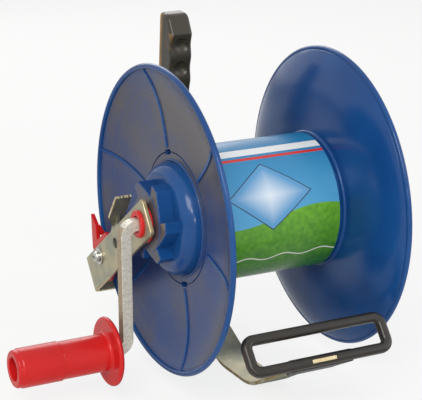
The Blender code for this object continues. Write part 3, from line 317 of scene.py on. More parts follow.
# A slab starts as an outline of (y, z), extruded along X. These turns lay the outline flat, make it
# face the front, lay its second coordinate along X, point what runs along X towards Y, or turn it about
LAID_FLAT = Matrix(((0, 1, 0), (0, 0, 1), (1, 0, 0)))
FACING_FRONT = Matrix.Rotation(-math.pi / 2, 3, "Z")
ON_EDGE = Matrix.Rotation(math.pi / 2, 3, "Y")
ALONG_Y = Matrix.Rotation(math.pi / 2, 3, "Z")
ABOUT_FACE = Matrix.Rotation(math.pi, 3, "Z")
UNTURNED = Matrix.Identity(3)


def linear(code):
    """Linear colour of an sRGB hex value such as "1f4f95"."""
    channels = [int(code[start:start + 2], 16) / 255 for start in (0, 2, 4)]
    return tuple(c / 12.92 if c <= 0.04045 else ((c + 0.055) / 1.055) ** 2.4 for c in channels)


# Sizes and colours that a user may change

def size(name, description, default):
    """A length property whose default is in millimetres."""
    return bpy.props.FloatProperty(name=name, description=description, default=default * MM,
                                   min=0.0, unit="LENGTH", precision=5)


def colour(name, description, code):
    """A colour property whose default is an sRGB hex value."""
    return bpy.props.FloatVectorProperty(name=name, description=description, default=linear(code),
                                         min=0.0, max=1.0, subtype="COLOR", size=3)


class ReelSpoolSettings(bpy.types.PropertyGroup):
    rib_width: size("Rib width", "Width of the ribs on the rim discs", 3.4)
    rib_height: size("Rib height", "How far the ribs stand out of the rim discs", 1.4)
    seam: size("Seam", "Width of the step on both sides of the seam round the gear cover", 0.45)
    tooth_round: size("Tooth rounding", "Rounding of the edges of the ratchet's teeth", 0.8)
    blue_dark: colour("Dark blue", "Darker of the two blues in the plastic", "0f3e7a")
    blue_light: colour("Light blue", "Lighter of the two blues in the plastic", "1b5190")
    # The two slate colours paint the surroundings' reflection on the dull outer faces, greyer and browner
    # than the blue
    web_dark: colour("Dark slate", "Darker colour of the eroded outer faces", "24437f")
    web_light: colour("Light slate", "Lighter colour of the eroded outer faces", "575459")


class ReelLabelSettings(bpy.types.PropertyGroup):
    sky_low: colour("Low sky", "Sky near the hills", "5aa9d8")
    sky_high: colour("High sky", "Sky at the top of the print", "1f7fb4")
    meadow_light: colour("Light meadow", "Lit grass", "6fb02f")
    meadow_dark: colour("Dark meadow", "Shaded grass", "3a7f27")
    stripe: colour("Stripe", "Thin stripe under the white one", "d8312f")


class ReelSteelSettings(bpy.types.PropertyGroup):
    corner: size("Corner", "Radius of the corners at the ends of the frame's arms", 3.4)
    bar_edge: size("Bar edge", "Rounding along the edges of the frame's bar", 0.8)
    strip_edge: size("Strip edge", "Rounding along the edges of the strip", 0.5)
    straw: colour("Straw", "Warm hue of the passivated zinc", "bfb699")
    olive: colour("Olive", "Cool hue of the passivated zinc", "9c9f90")
    edge: colour("Sheared edge", "Gold hue of the sheared edges", "b8a06c")


class ReelHandleSettings(bpy.types.PropertyGroup):
    seam_depth: size("Seam depth", "Depth of the groove where the tip begins", 0.35)
    bar_round: size("Bar rounding", "Rounding along the edges of the crank's bar", 0.6)
    red_dark: colour("Dark red", "Darker of the two reds in the plastic", "c8191c")
    red_light: colour("Light red", "Lighter of the two reds in the plastic", "d42322")


class ReelGripSettings(bpy.types.PropertyGroup):
    guide_round: size("Guide rounding", "Rounding of the wire guide's bar", 3.3)
    groove_depth: size("Groove depth", "Depth of the scooped finger grooves", 3.4)
    grip_round: size("Grip rounding", "Rounding of the grip's top corners", 4.5)
    body: colour("Grip body", "Colour of the grip's smoky plastic", "38332a")
    # Colour of the painted glow for light through the grip's edges
    painted_amber_glow: colour("Grip edge", "Colour where light gets through the grip's edges", "a87c35")
    black_dark: colour("Dark nylon", "Darker colour of the wire guide", "1b1815")
    black_light: colour("Light nylon", "Lighter colour of the wire guide", "2f2a24")


class ReelStudioSettings(bpy.types.PropertyGroup):
    floor: colour("Floor", "Colour of the floor", "efefed")
    azimuth: bpy.props.FloatProperty(
        name="Azimuth", description="Camera's turn about the vertical, from straight in front of the guide",
        default=math.radians(-27.0), subtype="ANGLE")
    elevation: bpy.props.FloatProperty(
        name="Elevation", description="Camera's height as an angle", default=math.radians(16.54),
        subtype="ANGLE")
    distance: size("Distance", "From the camera to the middle of the picture", 1454.5)


SETTINGS = {
    "reel_spool": ReelSpoolSettings,
    "reel_label": ReelLabelSettings,
    "reel_steel": ReelSteelSettings,
    "reel_handle": ReelHandleSettings,
    "reel_grip": ReelGripSettings,
    "reel_studio": ReelStudioSettings,
}


# Drawing and shaping

def polar(radius, degrees, centre=(0, 0)):
    """A point at a radius and an angle from a centre."""
    angle = math.radians(degrees)
    return centre[0] + radius * math.cos(angle), centre[1] + radius * math.sin(angle)


def arc(radius, first, last, steps, centre=(0, 0)):
    """Points of an arc between two angles in degrees, both ends included."""
    return [polar(radius, first + (last - first) * step / steps, centre) for step in range(steps + 1)]


def hexagon(flats):
    """Corners of a hexagon of a width across its flats, one corner at the top."""
    return arc(flats / 2 / math.cos(math.pi / 6), 90, 390, 5)


def rounded_rectangle(length, height, corner, steps):
    """Points of a rectangle about the origin with round corners."""
    u, v = length / 2 - corner, height / 2 - corner
    points = []
    for quarter, centre in enumerate([(u, v), (-u, v), (-u, -v), (u, -v)]):
        points += arc(corner, 90 * quarter, 90 * quarter + 90, steps, centre)
    return points


def ring(inside, outside, near, far, chamfer=CHAMFER):
    """Section of a ring with chamfers on its outer edges, as (radius, x) points."""
    return [(inside, near), (outside - chamfer, near), (outside, near + chamfer),
            (outside, far - chamfer), (outside - chamfer, far), (inside, far)]


def to_left(way):
    """A direction turned a quarter to the left."""
    return Vector((-way.y, way.x))


def bent_path(corners, bends, thickness, steps=10):
    """Outline of a bar of one thickness, bent to a radius at each corner of its centre line."""
    corners = [Vector(corner) for corner in corners]
    heading = (corners[1] - corners[0]).normalized()
    line = [(corners[0], heading)]
    for corner, after, bend in zip(corners[1:-1], corners[2:], bends):
        leaving = (after - corner).normalized()
        turn = math.atan2(heading.cross(leaving), heading.dot(leaving))
        side = math.copysign(bend, turn)
        centre = corner - heading * bend * math.tan(abs(turn) / 2) + to_left(heading) * side
        for step in range(steps + 1):
            way = Matrix.Rotation(turn * step / steps, 2) @ heading
            line.append((centre - to_left(way) * side, way))
        heading = leaving
    line.append((corners[-1], heading))
    left = [tuple(point + to_left(way) * thickness / 2) for point, way in line]
    right = [tuple(point - to_left(way) * thickness / 2) for point, way in line]
    return left + right[::-1]


def draw(points, closed=True):
    """Draw a line through points in edit mode, one vertex after the other."""
    points = [Vector(point) * MM for point in points]
    bpy.ops.object.select_all(action="DESELECT")
    bpy.ops.mesh.primitive_plane_add(size=MM)
    bpy.ops.object.mode_set(mode="EDIT")
    bpy.ops.mesh.select_mode(type="VERT")
    bpy.ops.mesh.merge(type="CENTER")
    bpy.ops.transform.translate(value=points[0])
    following = points[1:] + points[:1] if closed else points[1:]
    for start, end in zip(points, following):
        bpy.ops.mesh.extrude_vertices_move(TRANSFORM_OT_translate={"value": end - start})
    bpy.ops.mesh.select_all(action="SELECT")
    bpy.ops.mesh.remove_doubles(threshold=WELD * MM)


def close_shape(name):
    """Merge what touches, point the faces outwards and leave edit mode."""
    bpy.ops.mesh.select_all(action="SELECT")
    bpy.ops.mesh.remove_doubles(threshold=WELD * MM)
    bpy.ops.mesh.normals_make_consistent(inside=False)
    bpy.ops.object.mode_set(mode="OBJECT")
    piece = bpy.context.object
    piece.name = piece.data.name = name
    return piece


def turned(name, profile, steps):
    """Spin a profile of (radius, x) points about X. It is closed unless it starts on the axis."""
    draw([(x, 0, radius) for radius, x in profile], closed=profile[0][0] > 0)
    bpy.ops.mesh.spin(steps=steps, angle=2 * math.pi, center=(0, 0, 0), axis=(1, 0, 0))
    return close_shape(name)


def slab(name, outline, low, high):
    """Fill an outline of (y, z) points and extrude it between two values of X."""
    draw([(low, y, z) for y, z in outline])
    bpy.ops.mesh.edge_face_add()
    bpy.ops.mesh.extrude_region_move(TRANSFORM_OT_translate={"value": ((high - low) * MM, 0, 0)})
    return close_shape(name)


def brick(corner, opposite):
    """A square cutter between two opposite corners."""
    (x0, y0, z0), (x1, y1, z1) = map(min, corner, opposite), map(max, corner, opposite)
    return slab("cutter", [(y0, z0), (y1, z0), (y1, z1), (y0, z1)], x0, x1)


def rod(radius, low, high, centre=(0, 0), steps=48):
    """A round cutter or core along X."""
    return slab("cutter", arc(radius, 0, 360 * (1 - 1 / steps), steps - 1, centre), low, high)


def pick(piece):
    """Select one piece alone and make it the active one."""
    bpy.ops.object.select_all(action="DESELECT")
    piece.select_set(True)
    bpy.context.view_layer.objects.active = piece


def set_down(piece, place=(0, 0, 0), turn=UNTURNED):
    """Turn a piece and move it to a place, in its mesh."""
    pick(piece)
    piece.location = Vector(place) * MM
    piece.rotation_euler = turn.to_euler()
    bpy.ops.object.transform_apply(location=True, rotation=True, scale=True)
    return piece


def copied(piece, name, place=(0, 0, 0), turn=UNTURNED):
    """Copy a piece with a mesh of its own, and turn and move the copy."""
    pick(piece)
    bpy.ops.object.duplicate(linked=False)
    copy = bpy.context.object
    copy.name = copy.data.name = name
    return set_down(copy, place, turn)


def ball(centre, radii):
    """An ellipsoid cutter."""
    bpy.ops.object.select_all(action="DESELECT")
    bpy.ops.mesh.primitive_uv_sphere_add(segments=40, ring_count=20, radius=MM)
    cutter = bpy.context.object
    cutter.scale = radii
    return set_down(cutter, centre)


def tilted(angle):
    """A turn about X."""
    return Matrix.Rotation(angle, 3, "X")


def apply_modifier(piece, kind, **settings):
    """Add a modifier and apply it."""
    pick(piece)
    modifier = piece.modifiers.new(kind.lower(), kind)
    for name, value in settings.items():
        setattr(modifier, name, value)
    bpy.ops.object.modifier_apply(modifier=modifier.name)


def round_edges(piece, width, segments=3, angle=40.0):
    """Round the edges between faces that meet at more than an angle."""
    apply_modifier(piece, "BEVEL", width=width * MM, segments=segments, limit_method="ANGLE",
                   angle_limit=math.radians(angle))


def round_some(piece, width, segments, chosen):
    """Round only the edges that a test picks by their two ends."""
    pick(piece)
    bpy.ops.object.mode_set(mode="EDIT")
    bpy.ops.mesh.select_mode(type="EDGE")
    bpy.ops.mesh.select_all(action="DESELECT")
    bpy.ops.object.mode_set(mode="OBJECT")
    verts = piece.data.vertices
    for edge in piece.data.edges:
        edge.select = chosen(*(verts[index].co / MM for index in edge.vertices))
    bpy.ops.object.mode_set(mode="EDIT")
    bpy.ops.mesh.bevel(offset=width * MM, segments=segments, affect="EDGES")
    bpy.ops.object.mode_set(mode="OBJECT")


def combine(piece, operation, *tools):
    """Cut tools from a piece or join them to it, and delete them."""
    for tool in tools:
        apply_modifier(piece, "BOOLEAN", operation=operation, solver="EXACT", object=tool)
    for tool in tools:
        pick(tool)
        bpy.ops.object.delete()
    pick(piece)


def cut(piece, *tools):
    """Take tools away from a piece."""
    combine(piece, "DIFFERENCE", *tools)


def fuse(piece, *tools):
    """Join tools to a piece."""
    combine(piece, "UNION", *tools)


def gather(pieces):
    """Make one object of several that don't touch."""
    pick(pieces[0])
    for piece in pieces[1:]:
        piece.select_set(True)
    bpy.ops.object.join()
    return bpy.context.object


def coat(piece, *finishes):
    """Give a piece its finishes, the first one all over."""
    piece.data.materials.clear()
    for name in finishes:
        piece.data.materials.append(finish(name))
    for face in piece.data.polygons:
        face.material_index = 0


def coat_faces(piece, slot, chosen):
    """Give the faces that a test picks another of the piece's finishes."""
    for face in piece.data.polygons:
        if chosen(face.center / MM, face.normal):
            face.material_index = slot


def finished(piece, body, slot, *nodes, smooth=35.0):
    """Raise a piece to its height, coat it if it is bare, smooth it, and let it stand for its CAD nodes."""
    set_down(piece, (0, 0, AXIS))
    if not piece.data.materials:
        coat(piece, PLAIN_FINISHES[slot])
    bpy.ops.object.shade_smooth_by_angle(angle=math.radians(smooth))
    apply_modifier(piece, "WEIGHTED_NORMAL", keep_sharp=True)
    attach(piece, body)
    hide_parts(*nodes)


# Materials

def add(tree, kind, inputs=None, **settings):
    """Add a node with its settings and links. An input is a value, a socket or a node."""
    node = tree.nodes.new("ShaderNode" + kind)
    for name, value in settings.items():
        setattr(node, name, value)
    for name, value in (inputs or {}).items():
        if isinstance(name, str):
            socket = next(s for s in node.inputs if s.enabled and s.name == name)
        else:
            socket = node.inputs[name]
        if isinstance(value, bpy.types.Node):
            value = next(s for s in value.outputs if s.enabled)
        if isinstance(value, bpy.types.NodeSocket):
            tree.links.new(value, socket)
        elif socket.type == "RGBA":
            socket.default_value = (*value[:3], 1.0)
        else:
            socket.default_value = value
    return node


def per_mm(feature):
    """Texture scale that gives features of a size in millimetres."""
    return 1 / (feature * MM)


def start_material(name, values):
    """A new material with plain values on its shader, and the socket of its place."""
    material = bpy.data.materials.new(name)
    material.use_nodes = True
    tree = material.node_tree
    for socket, value in values.items():
        tree.nodes["Principled BSDF"].inputs[socket].default_value = value
    return material, tree, add(tree, "TexCoord").outputs["Object"]


def wire_up(tree, **sources):
    """Link sources to sockets of the shader."""
    for socket, source in sources.items():
        tree.links.new(next(s for s in source.outputs if s.enabled),
                       tree.nodes["Principled BSDF"].inputs[socket.replace("_", " ").title()])


def two_tones(tree, place, feature, detail, first, second, span=(0.0, 1.0)):
    """Clouds of two colours, with features of a size in millimetres."""
    clouds = add(tree, "TexNoise", {"Vector": place, "Scale": per_mm(feature), "Detail": detail})
    share = add(tree, "MapRange", {"Value": clouds, "From Min": span[0], "From Max": span[1]})
    return add(tree, "Mix", {"Factor": share, "A": first, "B": second}, data_type="RGBA")


def relief(tree, place, feature, detail, strength, depth):
    """Fine bumps, whose size and depth are in millimetres."""
    bumps = add(tree, "TexNoise", {"Vector": place, "Scale": per_mm(feature), "Detail": detail})
    return add(tree, "Bump", {"Strength": strength, "Distance": depth * MM, "Height": bumps})


def moulded_polypropylene(name, dark, light):
    """Polypropylene from a polished mould: saturated, glossy, with flow clouds and orange peel."""
    material, tree, place = start_material(
        name, {"Roughness": 0.19, "IOR": 1.49, "Specular IOR Level": 0.32})
    clouds = two_tones(tree, place, 60, 2.0, dark, light, (0.2, 0.8))
    # The peel is about twice as coarse as real, so that it shows
    wire_up(tree, base_color=clouds, normal=relief(tree, place, 2.5, 2.0, 0.1, 0.05))
    return material


def eroded_polypropylene_painted_reflection(name, dark, light):
    """Polypropylene from a spark-eroded mould: duller, pitted, with turning marks, and greyer slate and
    brown clouds that are a painted reflection of the surroundings.
    """
    material, tree, place = start_material(
        name, {"Roughness": 0.3, "IOR": 1.49, "Specular IOR Level": 0.4})
    clouds = add(tree, "TexNoise", {"Vector": place, "Scale": per_mm(120), "Detail": 3.0})
    centred = add(tree, "VectorMath", {0: place, 1: (0, 0, AXIS * MM)}, operation="SUBTRACT")
    flat = add(tree, "VectorMath", {0: centred, 1: (0, 1, 1)}, operation="MULTIPLY")
    radius = add(tree, "VectorMath", {0: flat}, operation="LENGTH")
    marks = add(tree, "TexNoise", {"W": radius, "Scale": per_mm(2.2), "Detail": 2.0},
                noise_dimensions="1D")
    share = add(tree, "Math", {0: marks, 1: 0.22, 2: clouds}, operation="MULTIPLY_ADD")
    tone = add(tree, "MapRange", {"Value": share, "From Min": 0.48, "From Max": 0.72})
    colour_mix = add(tree, "Mix", {"Factor": tone, "A": dark, "B": light}, data_type="RGBA")
    # Real pits are a tenth of a millimetre and would not show, so these are coarser
    wire_up(tree, base_color=colour_mix, normal=relief(tree, place, 1.1, 3.0, 0.18, 0.06))
    return material


def printed_film(name, settings):
    """Glossy printed polyester film: a sky over rolling meadows, a pale lozenge, stripes and a wave."""
    material, tree, place = start_material(name, {"Roughness": 0.24, "Specular IOR Level": 0.4})
    parts = add(tree, "SeparateXYZ", {"Vector": place})
    along = add(tree, "Math", {0: parts.outputs[0], 1: 1 / MM}, operation="MULTIPLY")
    height = add(tree, "Math", {0: parts.outputs[2], 1: AXIS * MM}, operation="SUBTRACT")
    front = add(tree, "Math", {0: parts.outputs[1], 1: -1.0}, operation="MULTIPLY")
    angle = add(tree, "Math", {0: height, 1: front}, operation="ARCTAN2")
    around = add(tree, "Math", {0: angle, 1: LABEL_RADIUS, 2: -LABEL_RADIUS * LABEL_TURN},
                 operation="MULTIPLY_ADD")
    half = LABEL_RADIUS * math.pi / 2
    up = add(tree, "Math", {0: around, 1: half, 2: -half}, operation="WRAP")

    sky_share = add(tree, "MapRange", {"Value": up, "From Min": SKY_SPAN[0], "From Max": SKY_SPAN[1]})
    sky = add(tree, "Mix", {"Factor": sky_share, "A": settings.sky_low, "B": settings.sky_high},
              data_type="RGBA")
    # The blades of grass are drawn as coarse dapples
    blades = add(tree, "TexNoise", {"Vector": place, "Scale": per_mm(4.5), "Detail": 4.0})
    shaded = add(tree, "MapRange", {"Value": up, "From Min": GRASS_SPAN[0], "From Max": GRASS_SPAN[1],
                                    "To Min": 0.55, "To Max": -0.05})
    depth = add(tree, "Math", {0: blades, 1: shaded}, operation="ADD")
    grass_share = add(tree, "MapRange", {"Value": depth, "From Min": 0.3, "From Max": 1.0})
    grass = add(tree, "Mix", {"Factor": grass_share, "A": settings.meadow_light,
                              "B": settings.meadow_dark}, data_type="RGBA")
    levels = []
    for length, rise, level in (HILLS, WAVE):
        swell = add(tree, "Math", {0: along, 1: 1 / length}, operation="MULTIPLY")
        roll = add(tree, "Math", {0: swell}, operation="SINE")
        levels.append(add(tree, "Math", {0: roll, 1: rise, 2: level}, operation="MULTIPLY_ADD"))
    below = add(tree, "Math", {0: levels[0], 1: up}, operation="SUBTRACT")
    on_hill = add(tree, "MapRange", {"Value": below, "From Min": -0.3, "From Max": 0.3})

    # Distance from the lozenge's middle, as a share of its reach to both sides and up and down
    reach = None
    for measure, middle, extent in zip((along, up), LOZENGE_MIDDLE, LOZENGE_REACH):
        offset = add(tree, "Math", {0: measure, 1: middle}, operation="SUBTRACT")
        distance = add(tree, "Math", {0: offset}, operation="ABSOLUTE")
        reach = add(tree, "Math", {0: distance, 1: 1 / extent, 2: reach or 0.0}, operation="MULTIPLY_ADD")
    glow = add(tree, "MapRange", {"Value": reach, "From Max": 0.8})
    pale = add(tree, "Mix", {"Factor": glow, "A": linear("dfe9f4"), "B": linear("5f9fd0")},
               data_type="RGBA")

    # What is printed over the sky, each with the place where it shows
    picture = sky
    prints = (
        (on_hill, grass),
        (add(tree, "Math", {0: reach, 1: LOZENGE_FILL}, operation="LESS_THAN"), pale),
        (add(tree, "Math", {0: reach, 1: LOZENGE_LINE[0], 2: LOZENGE_LINE[1]}, operation="COMPARE"),
         linear("28415c")),
        (add(tree, "Math", {0: up, 1: levels[1], 2: WAVE_LINE}, operation="COMPARE"), linear("e9efe4")),
        (add(tree, "Math", {0: up, 1: WHITE_STRIPE[0], 2: WHITE_STRIPE[1]}, operation="COMPARE"),
         linear("eef1f2")),
        (add(tree, "Math", {0: up, 1: RED_STRIPE[0], 2: RED_STRIPE[1]}, operation="COMPARE"),
         settings.stripe))
    for shows, ink in prints:
        picture = add(tree, "Mix", {"Factor": shows, "A": picture, "B": ink}, data_type="RGBA")
    wire_up(tree, base_color=picture, normal=relief(tree, place, 30, 1.0, 0.25, 0.2))
    return material


def passivated_zinc(name, straw, olive):
    """Zinc plating under yellow passivation: pale, matt, its hue drifting from straw to olive."""
    material, tree, place = start_material(name, {"Metallic": 0.85})
    first = two_tones(tree, place, 24, 2.0, straw, olive, (0.35, 0.65))
    stains = add(tree, "TexNoise", {"Vector": place, "Scale": per_mm(7), "Detail": 4.0,
                                    "Roughness": 0.65})
    spread = add(tree, "MapRange", {"Value": stains, "From Min": 0.52, "From Max": 0.75,
                                    "To Max": 0.45})
    colour_mix = add(tree, "Mix", {"Factor": spread, "A": first, "B": linear("d6cdb0")},
                     data_type="RGBA")
    # The rolled sheet's grain is finer in real steel, and is drawn coarser to show
    grain = add(tree, "TexNoise", {"Vector": place, "Scale": per_mm(1.2), "Detail": 4.0})
    rough = add(tree, "MapRange", {"Value": grain, "To Min": 0.34, "To Max": 0.54})
    bump = add(tree, "Bump", {"Strength": 0.15, "Distance": 0.04 * MM, "Height": grain})
    wire_up(tree, base_color=colour_mix, roughness=rough, normal=bump)
    return material


def sheared_zinc(name, gold):
    """Sheared steel edge with thick passivation: gold, with bright streaks where the metal tore."""
    material, tree, place = start_material(name, {"Metallic": 0.85, "Roughness": 0.38})
    stretched = add(tree, "VectorMath", {0: place, 1: (per_mm(0.8), per_mm(9), per_mm(9))},
                    operation="MULTIPLY")
    tears = add(tree, "TexNoise", {"Vector": stretched, "Scale": 1.0, "Detail": 3.0})
    share = add(tree, "MapRange", {"Value": tears, "From Min": 0.4, "From Max": 0.65})
    colour_mix = add(tree, "Mix", {"Factor": share, "A": gold, "B": linear("e0d6b8")},
                     data_type="RGBA")
    bump = add(tree, "Bump", {"Strength": 0.3, "Distance": 0.1 * MM, "Height": tears})
    wire_up(tree, base_color=colour_mix, normal=bump)
    return material


def galvanised_iron(name, pale, dull, pit):
    """Hot-dipped square bar: chalky, with crystals that sparkle a little and darker pits."""
    material, tree, place = start_material(name, {"Metallic": 0.5})
    # Crystals and pits are coarser than real ones, which would not show at this size
    crystals = add(tree, "TexVoronoi", {"Vector": place, "Scale": per_mm(1.8)})
    tone = add(tree, "SeparateColor", {"Color": crystals.outputs["Color"]})
    first = add(tree, "Mix", {"Factor": tone, "A": linear(pale), "B": linear(dull)}, data_type="RGBA")
    pits = add(tree, "TexNoise", {"Vector": place, "Scale": per_mm(1.6), "Detail": 5.0,
                                  "Roughness": 0.7})
    spread = add(tree, "MapRange", {"Value": pits, "From Min": 0.56, "From Max": 0.7, "To Max": 0.8})
    colour_mix = add(tree, "Mix", {"Factor": spread, "A": first, "B": linear(pit)}, data_type="RGBA")
    rough = add(tree, "MapRange", {"Value": tone, "To Min": 0.42, "To Max": 0.6})
    bump = add(tree, "Bump", {"Strength": 0.35, "Distance": 0.08 * MM, "Height": pits})
    wire_up(tree, base_color=colour_mix, roughness=rough, normal=bump)
    return material


def bright_zinc(name):
    """Bright zinc plating: nearly white and softly polished, with faint clouds."""
    material, tree, place = start_material(name, {"Metallic": 1.0, "Roughness": 0.25})
    wire_up(tree, base_color=two_tones(tree, place, 4, 3.0, linear("b4b7b8"), linear("dedcd6")))
    return material


def filled_nylon(name, dark, light):
    """Glass-filled nylon: brownish black and satin, with a fine leathery skin."""
    material, tree, place = start_material(name, {"Roughness": 0.3, "Specular IOR Level": 0.45})
    # The mould's leathery skin, drawn coarser than real to show
    skin = add(tree, "TexVoronoi", {"Vector": place, "Scale": per_mm(0.9)}, feature="SMOOTH_F1")
    bump = add(tree, "Bump", {"Strength": 0.12, "Distance": 0.05 * MM, "Height": skin})
    wire_up(tree, base_color=two_tones(tree, place, 16, 4.0, dark, light), normal=bump)
    return material


def smoky_polyamide(name, body, painted_amber_glow):
    """Smoky polyamide: olive-black where it is thick, with a painted warm glow where an edge would let light
    through.
    """
    material, tree, place = start_material(name, {"Roughness": 0.33, "Specular IOR Level": 0.45})
    # The grip's own frame: Y to its back and Z up its length
    foot = grip_foot()
    centred = add(tree, "VectorMath", {0: place, 1: (0, foot.x * MM, (foot.y + AXIS) * MM)},
                  operation="SUBTRACT")
    upright = add(tree, "VectorRotate", {"Vector": centred, "Angle": -GRIP_LEAN}, rotation_type="X_AXIS")
    parts = add(tree, "SeparateXYZ", {"Vector": upright})
    sideways = add(tree, "Math", {0: parts.outputs[0]}, operation="ABSOLUTE")
    measures = (sideways, GLOW_SIDES), (parts.outputs[1], GLOW_BACK), (parts.outputs[1], GLOW_FRONT)
    thin_side, thin_back, thin_front = [
        add(tree, "MapRange", {"Value": measure, "From Min": start * MM, "From Max": end * MM})
        for measure, (start, end) in measures]
    # The painted glow lies along the back edges and under the front shoulder, in uneven clouds
    back_edge = add(tree, "Math", {0: thin_side, 1: thin_back}, operation="MULTIPLY")
    height, reach = GLOW_SHOULDER
    under_slope = add(tree, "Math", {0: parts.outputs[2], 1: height * MM, 2: reach * MM},
                      operation="COMPARE")
    shoulder = add(tree, "Math", {0: under_slope, 1: thin_front}, operation="MULTIPLY")
    front_edge = add(tree, "Math", {0: shoulder, 1: thin_side}, operation="MULTIPLY")
    edges = add(tree, "Math", {0: back_edge, 1: front_edge}, operation="MAXIMUM")
    clouds = add(tree, "TexNoise", {"Vector": place, "Scale": per_mm(20), "Detail": 2.0})
    uneven = add(tree, "MapRange", {"Value": clouds, "From Min": 0.3, "From Max": 0.6})
    share = add(tree, "Math", {0: edges, 1: uneven}, operation="MULTIPLY")
    colour_mix = add(tree, "Mix", {"Factor": share, "A": body, "B": painted_amber_glow}, data_type="RGBA")
    # Real mould marks are finer than this skin, and would not show
    wire_up(tree, base_color=colour_mix, normal=relief(tree, place, 1.0, 2.0, 0.12, 0.05))
    return material


def natural_nylon(name):
    """Unpigmented nylon: warm white and waxy."""
    material, tree, place = start_material(name, {"Roughness": 0.45})
    wire_up(tree, base_color=two_tones(tree, place, 9, 2.0, linear("e2ddce"), linear("efece2")))
    return material


# Finish of a piece that has only one, by its slot
PLAIN_FINISHES = {
    "spool_blue": "blue_polypropylene",
    "label_film": "printed_polyester_film",
    "red_plastic": "red_polypropylene",
    "bright_zinc": "bright_zinc_plating",
    "black_plastic": "black_filled_nylon",
    "grip_plastic": "smoky_polyamide",
}


def finish(name):
    """A material of the reel, made when it is first asked for."""
    if name in bpy.data.materials:
        return bpy.data.materials[name]
    scene = bpy.context.scene
    spool, steel = scene.reel_spool, scene.reel_steel
    handle, grip = scene.reel_handle, scene.reel_grip
    makers = {
        "blue_polypropylene": lambda: moulded_polypropylene(name, spool.blue_dark, spool.blue_light),
        "eroded_polypropylene_painted_reflection": lambda: eroded_polypropylene_painted_reflection(name, spool.web_dark, spool.web_light),
        "red_polypropylene": lambda: moulded_polypropylene(name, handle.red_dark, handle.red_light),
        "printed_polyester_film": lambda: printed_film(name, scene.reel_label),
        "passivated_zinc": lambda: passivated_zinc(name, steel.straw, steel.olive),
        "sheared_zinc_edge": lambda: sheared_zinc(name, steel.edge),
        "galvanised_iron": lambda: galvanised_iron(name, "e8e5da", "d0ccbf", "a9a393"),
        # A darker, browner copy of the iron, painted shade for the crank faces turned away from the spool
        "galvanised_iron_painted_shade": lambda: galvanised_iron(name, "b3a48e", "a2937c", "7f725e"),
        "bright_zinc_plating": lambda: bright_zinc(name),
        "black_filled_nylon": lambda: filled_nylon(name, grip.black_dark, grip.black_light),
        "smoky_polyamide": lambda: smoky_polyamide(name, grip.body, grip.painted_amber_glow),
        "natural_nylon": lambda: natural_nylon(name),
    }
    return makers[name]()


# Places that several pieces share, as (y, z) about the spool's axis

def in_frame_plane(along, sideways):
    """A place in the tilted plane of the frame."""
    return tuple(Matrix.Rotation(FRAME_TILT, 2) @ Vector((along, sideways)))


def grip_way():
    """Direction up the grip, in (y, z)."""
    return to_left(Matrix.Rotation(GRIP_LEAN, 2) @ Vector((1, 0)))


def strip_corners():
    """Corners of the strip's centre line, from the wire guide to the end of the tang."""
    front = Vector((STRIP_FRONT_CORNER, STRIP_LEVEL))
    guide = Vector(GUIDE_PLACE)
    top_bend = Vector(in_frame_plane(STRIP_ON_BAR, STRIP_ABOVE_BAR))
    return [guide + (guide - front).normalized() * TONGUE_PROUD, front,
            Vector((STRIP_BACK_CORNER, STRIP_LEVEL)),
            Vector(in_frame_plane(STRIP_ON_BAR, -STRIP_BELOW_BAR)), top_bend,
            top_bend + grip_way() * (GRIP_RISE + TANG_LENGTH)]


def grip_foot():
    """Place of the grip's foot, on the strip's centre line."""
    return strip_corners()[4] + grip_way() * GRIP_RISE


def on_tongue(piece):
    """Move a piece from the origin to the tongue of the strip, which runs along its Y."""
    corners = strip_corners()
    way = corners[1] - corners[0]
    return set_down(piece, (0, *GUIDE_PLACE), tilted(math.atan2(way.y, way.x)))


def on_grip(piece):
    """Move a piece from the origin to the foot of the grip, which runs along its Z."""
    return set_down(piece, (0, *grip_foot()), tilted(GRIP_LEAN))


def on_frame(piece):
    """Turn a piece from level into the plane of the frame."""
    return set_down(piece, turn=tilted(FRAME_TILT))


def on_pivot(piece):
    """Move a piece from the origin to the latch's pivot."""
    return set_down(piece, (0, *in_frame_plane(*PIVOT_PLACE)))


def mirrored(profile):
    """Move a profile to the crank's side, where X is negative."""
    return [(radius, -x) for radius, x in profile]


# Spool

def flare_face(radius):
    """X of a rim disc's outer face at a radius."""
    share = max(0.0, radius - FLARE_START) / (BEAD_CENTRE[0] - FLARE_START)
    return FLANGE_FACE + FLANGE_FLARE * share ** FLARE_POWER


def flared(first, last, steps, offset=0.0):
    """Points along a rim disc's outer face, moved outward by an offset."""
    radii = [first + (last - first) * step / steps for step in range(steps + 1)]
    return [(radius, flare_face(radius) + offset) for radius in radii]


def disc_section(opening):
    """Section of a rim disc: spigot, rounded hub, inner face, bead, groove and outer face."""
    rim = BEAD_CENTRE[0] - BEAD_RADIUS
    groove = [(rim + inward, flare_face(rim) + depth) for inward, depth in RIM_GROOVE]
    hub = (HUB_RADIUS, HUB_BACK + HUB_ROUND)
    return [(SPIGOT_RADIUS - SPIGOT_WALL, DISC_END), (SPIGOT_RADIUS, DISC_END),
            (SPIGOT_RADIUS, HUB_BACK), *arc(HUB_ROUND, -90, 0, 5, hub),
            *flared(HUB_RADIUS + HUB_ROUND + 0.2, rim + 1, 18, -FLANGE_WALL),
            *arc(BEAD_RADIUS, -112, 150, 22, BEAD_CENTRE), *groove,
            *flared(rim - GROOVE_WIDTH, opening, 24)]


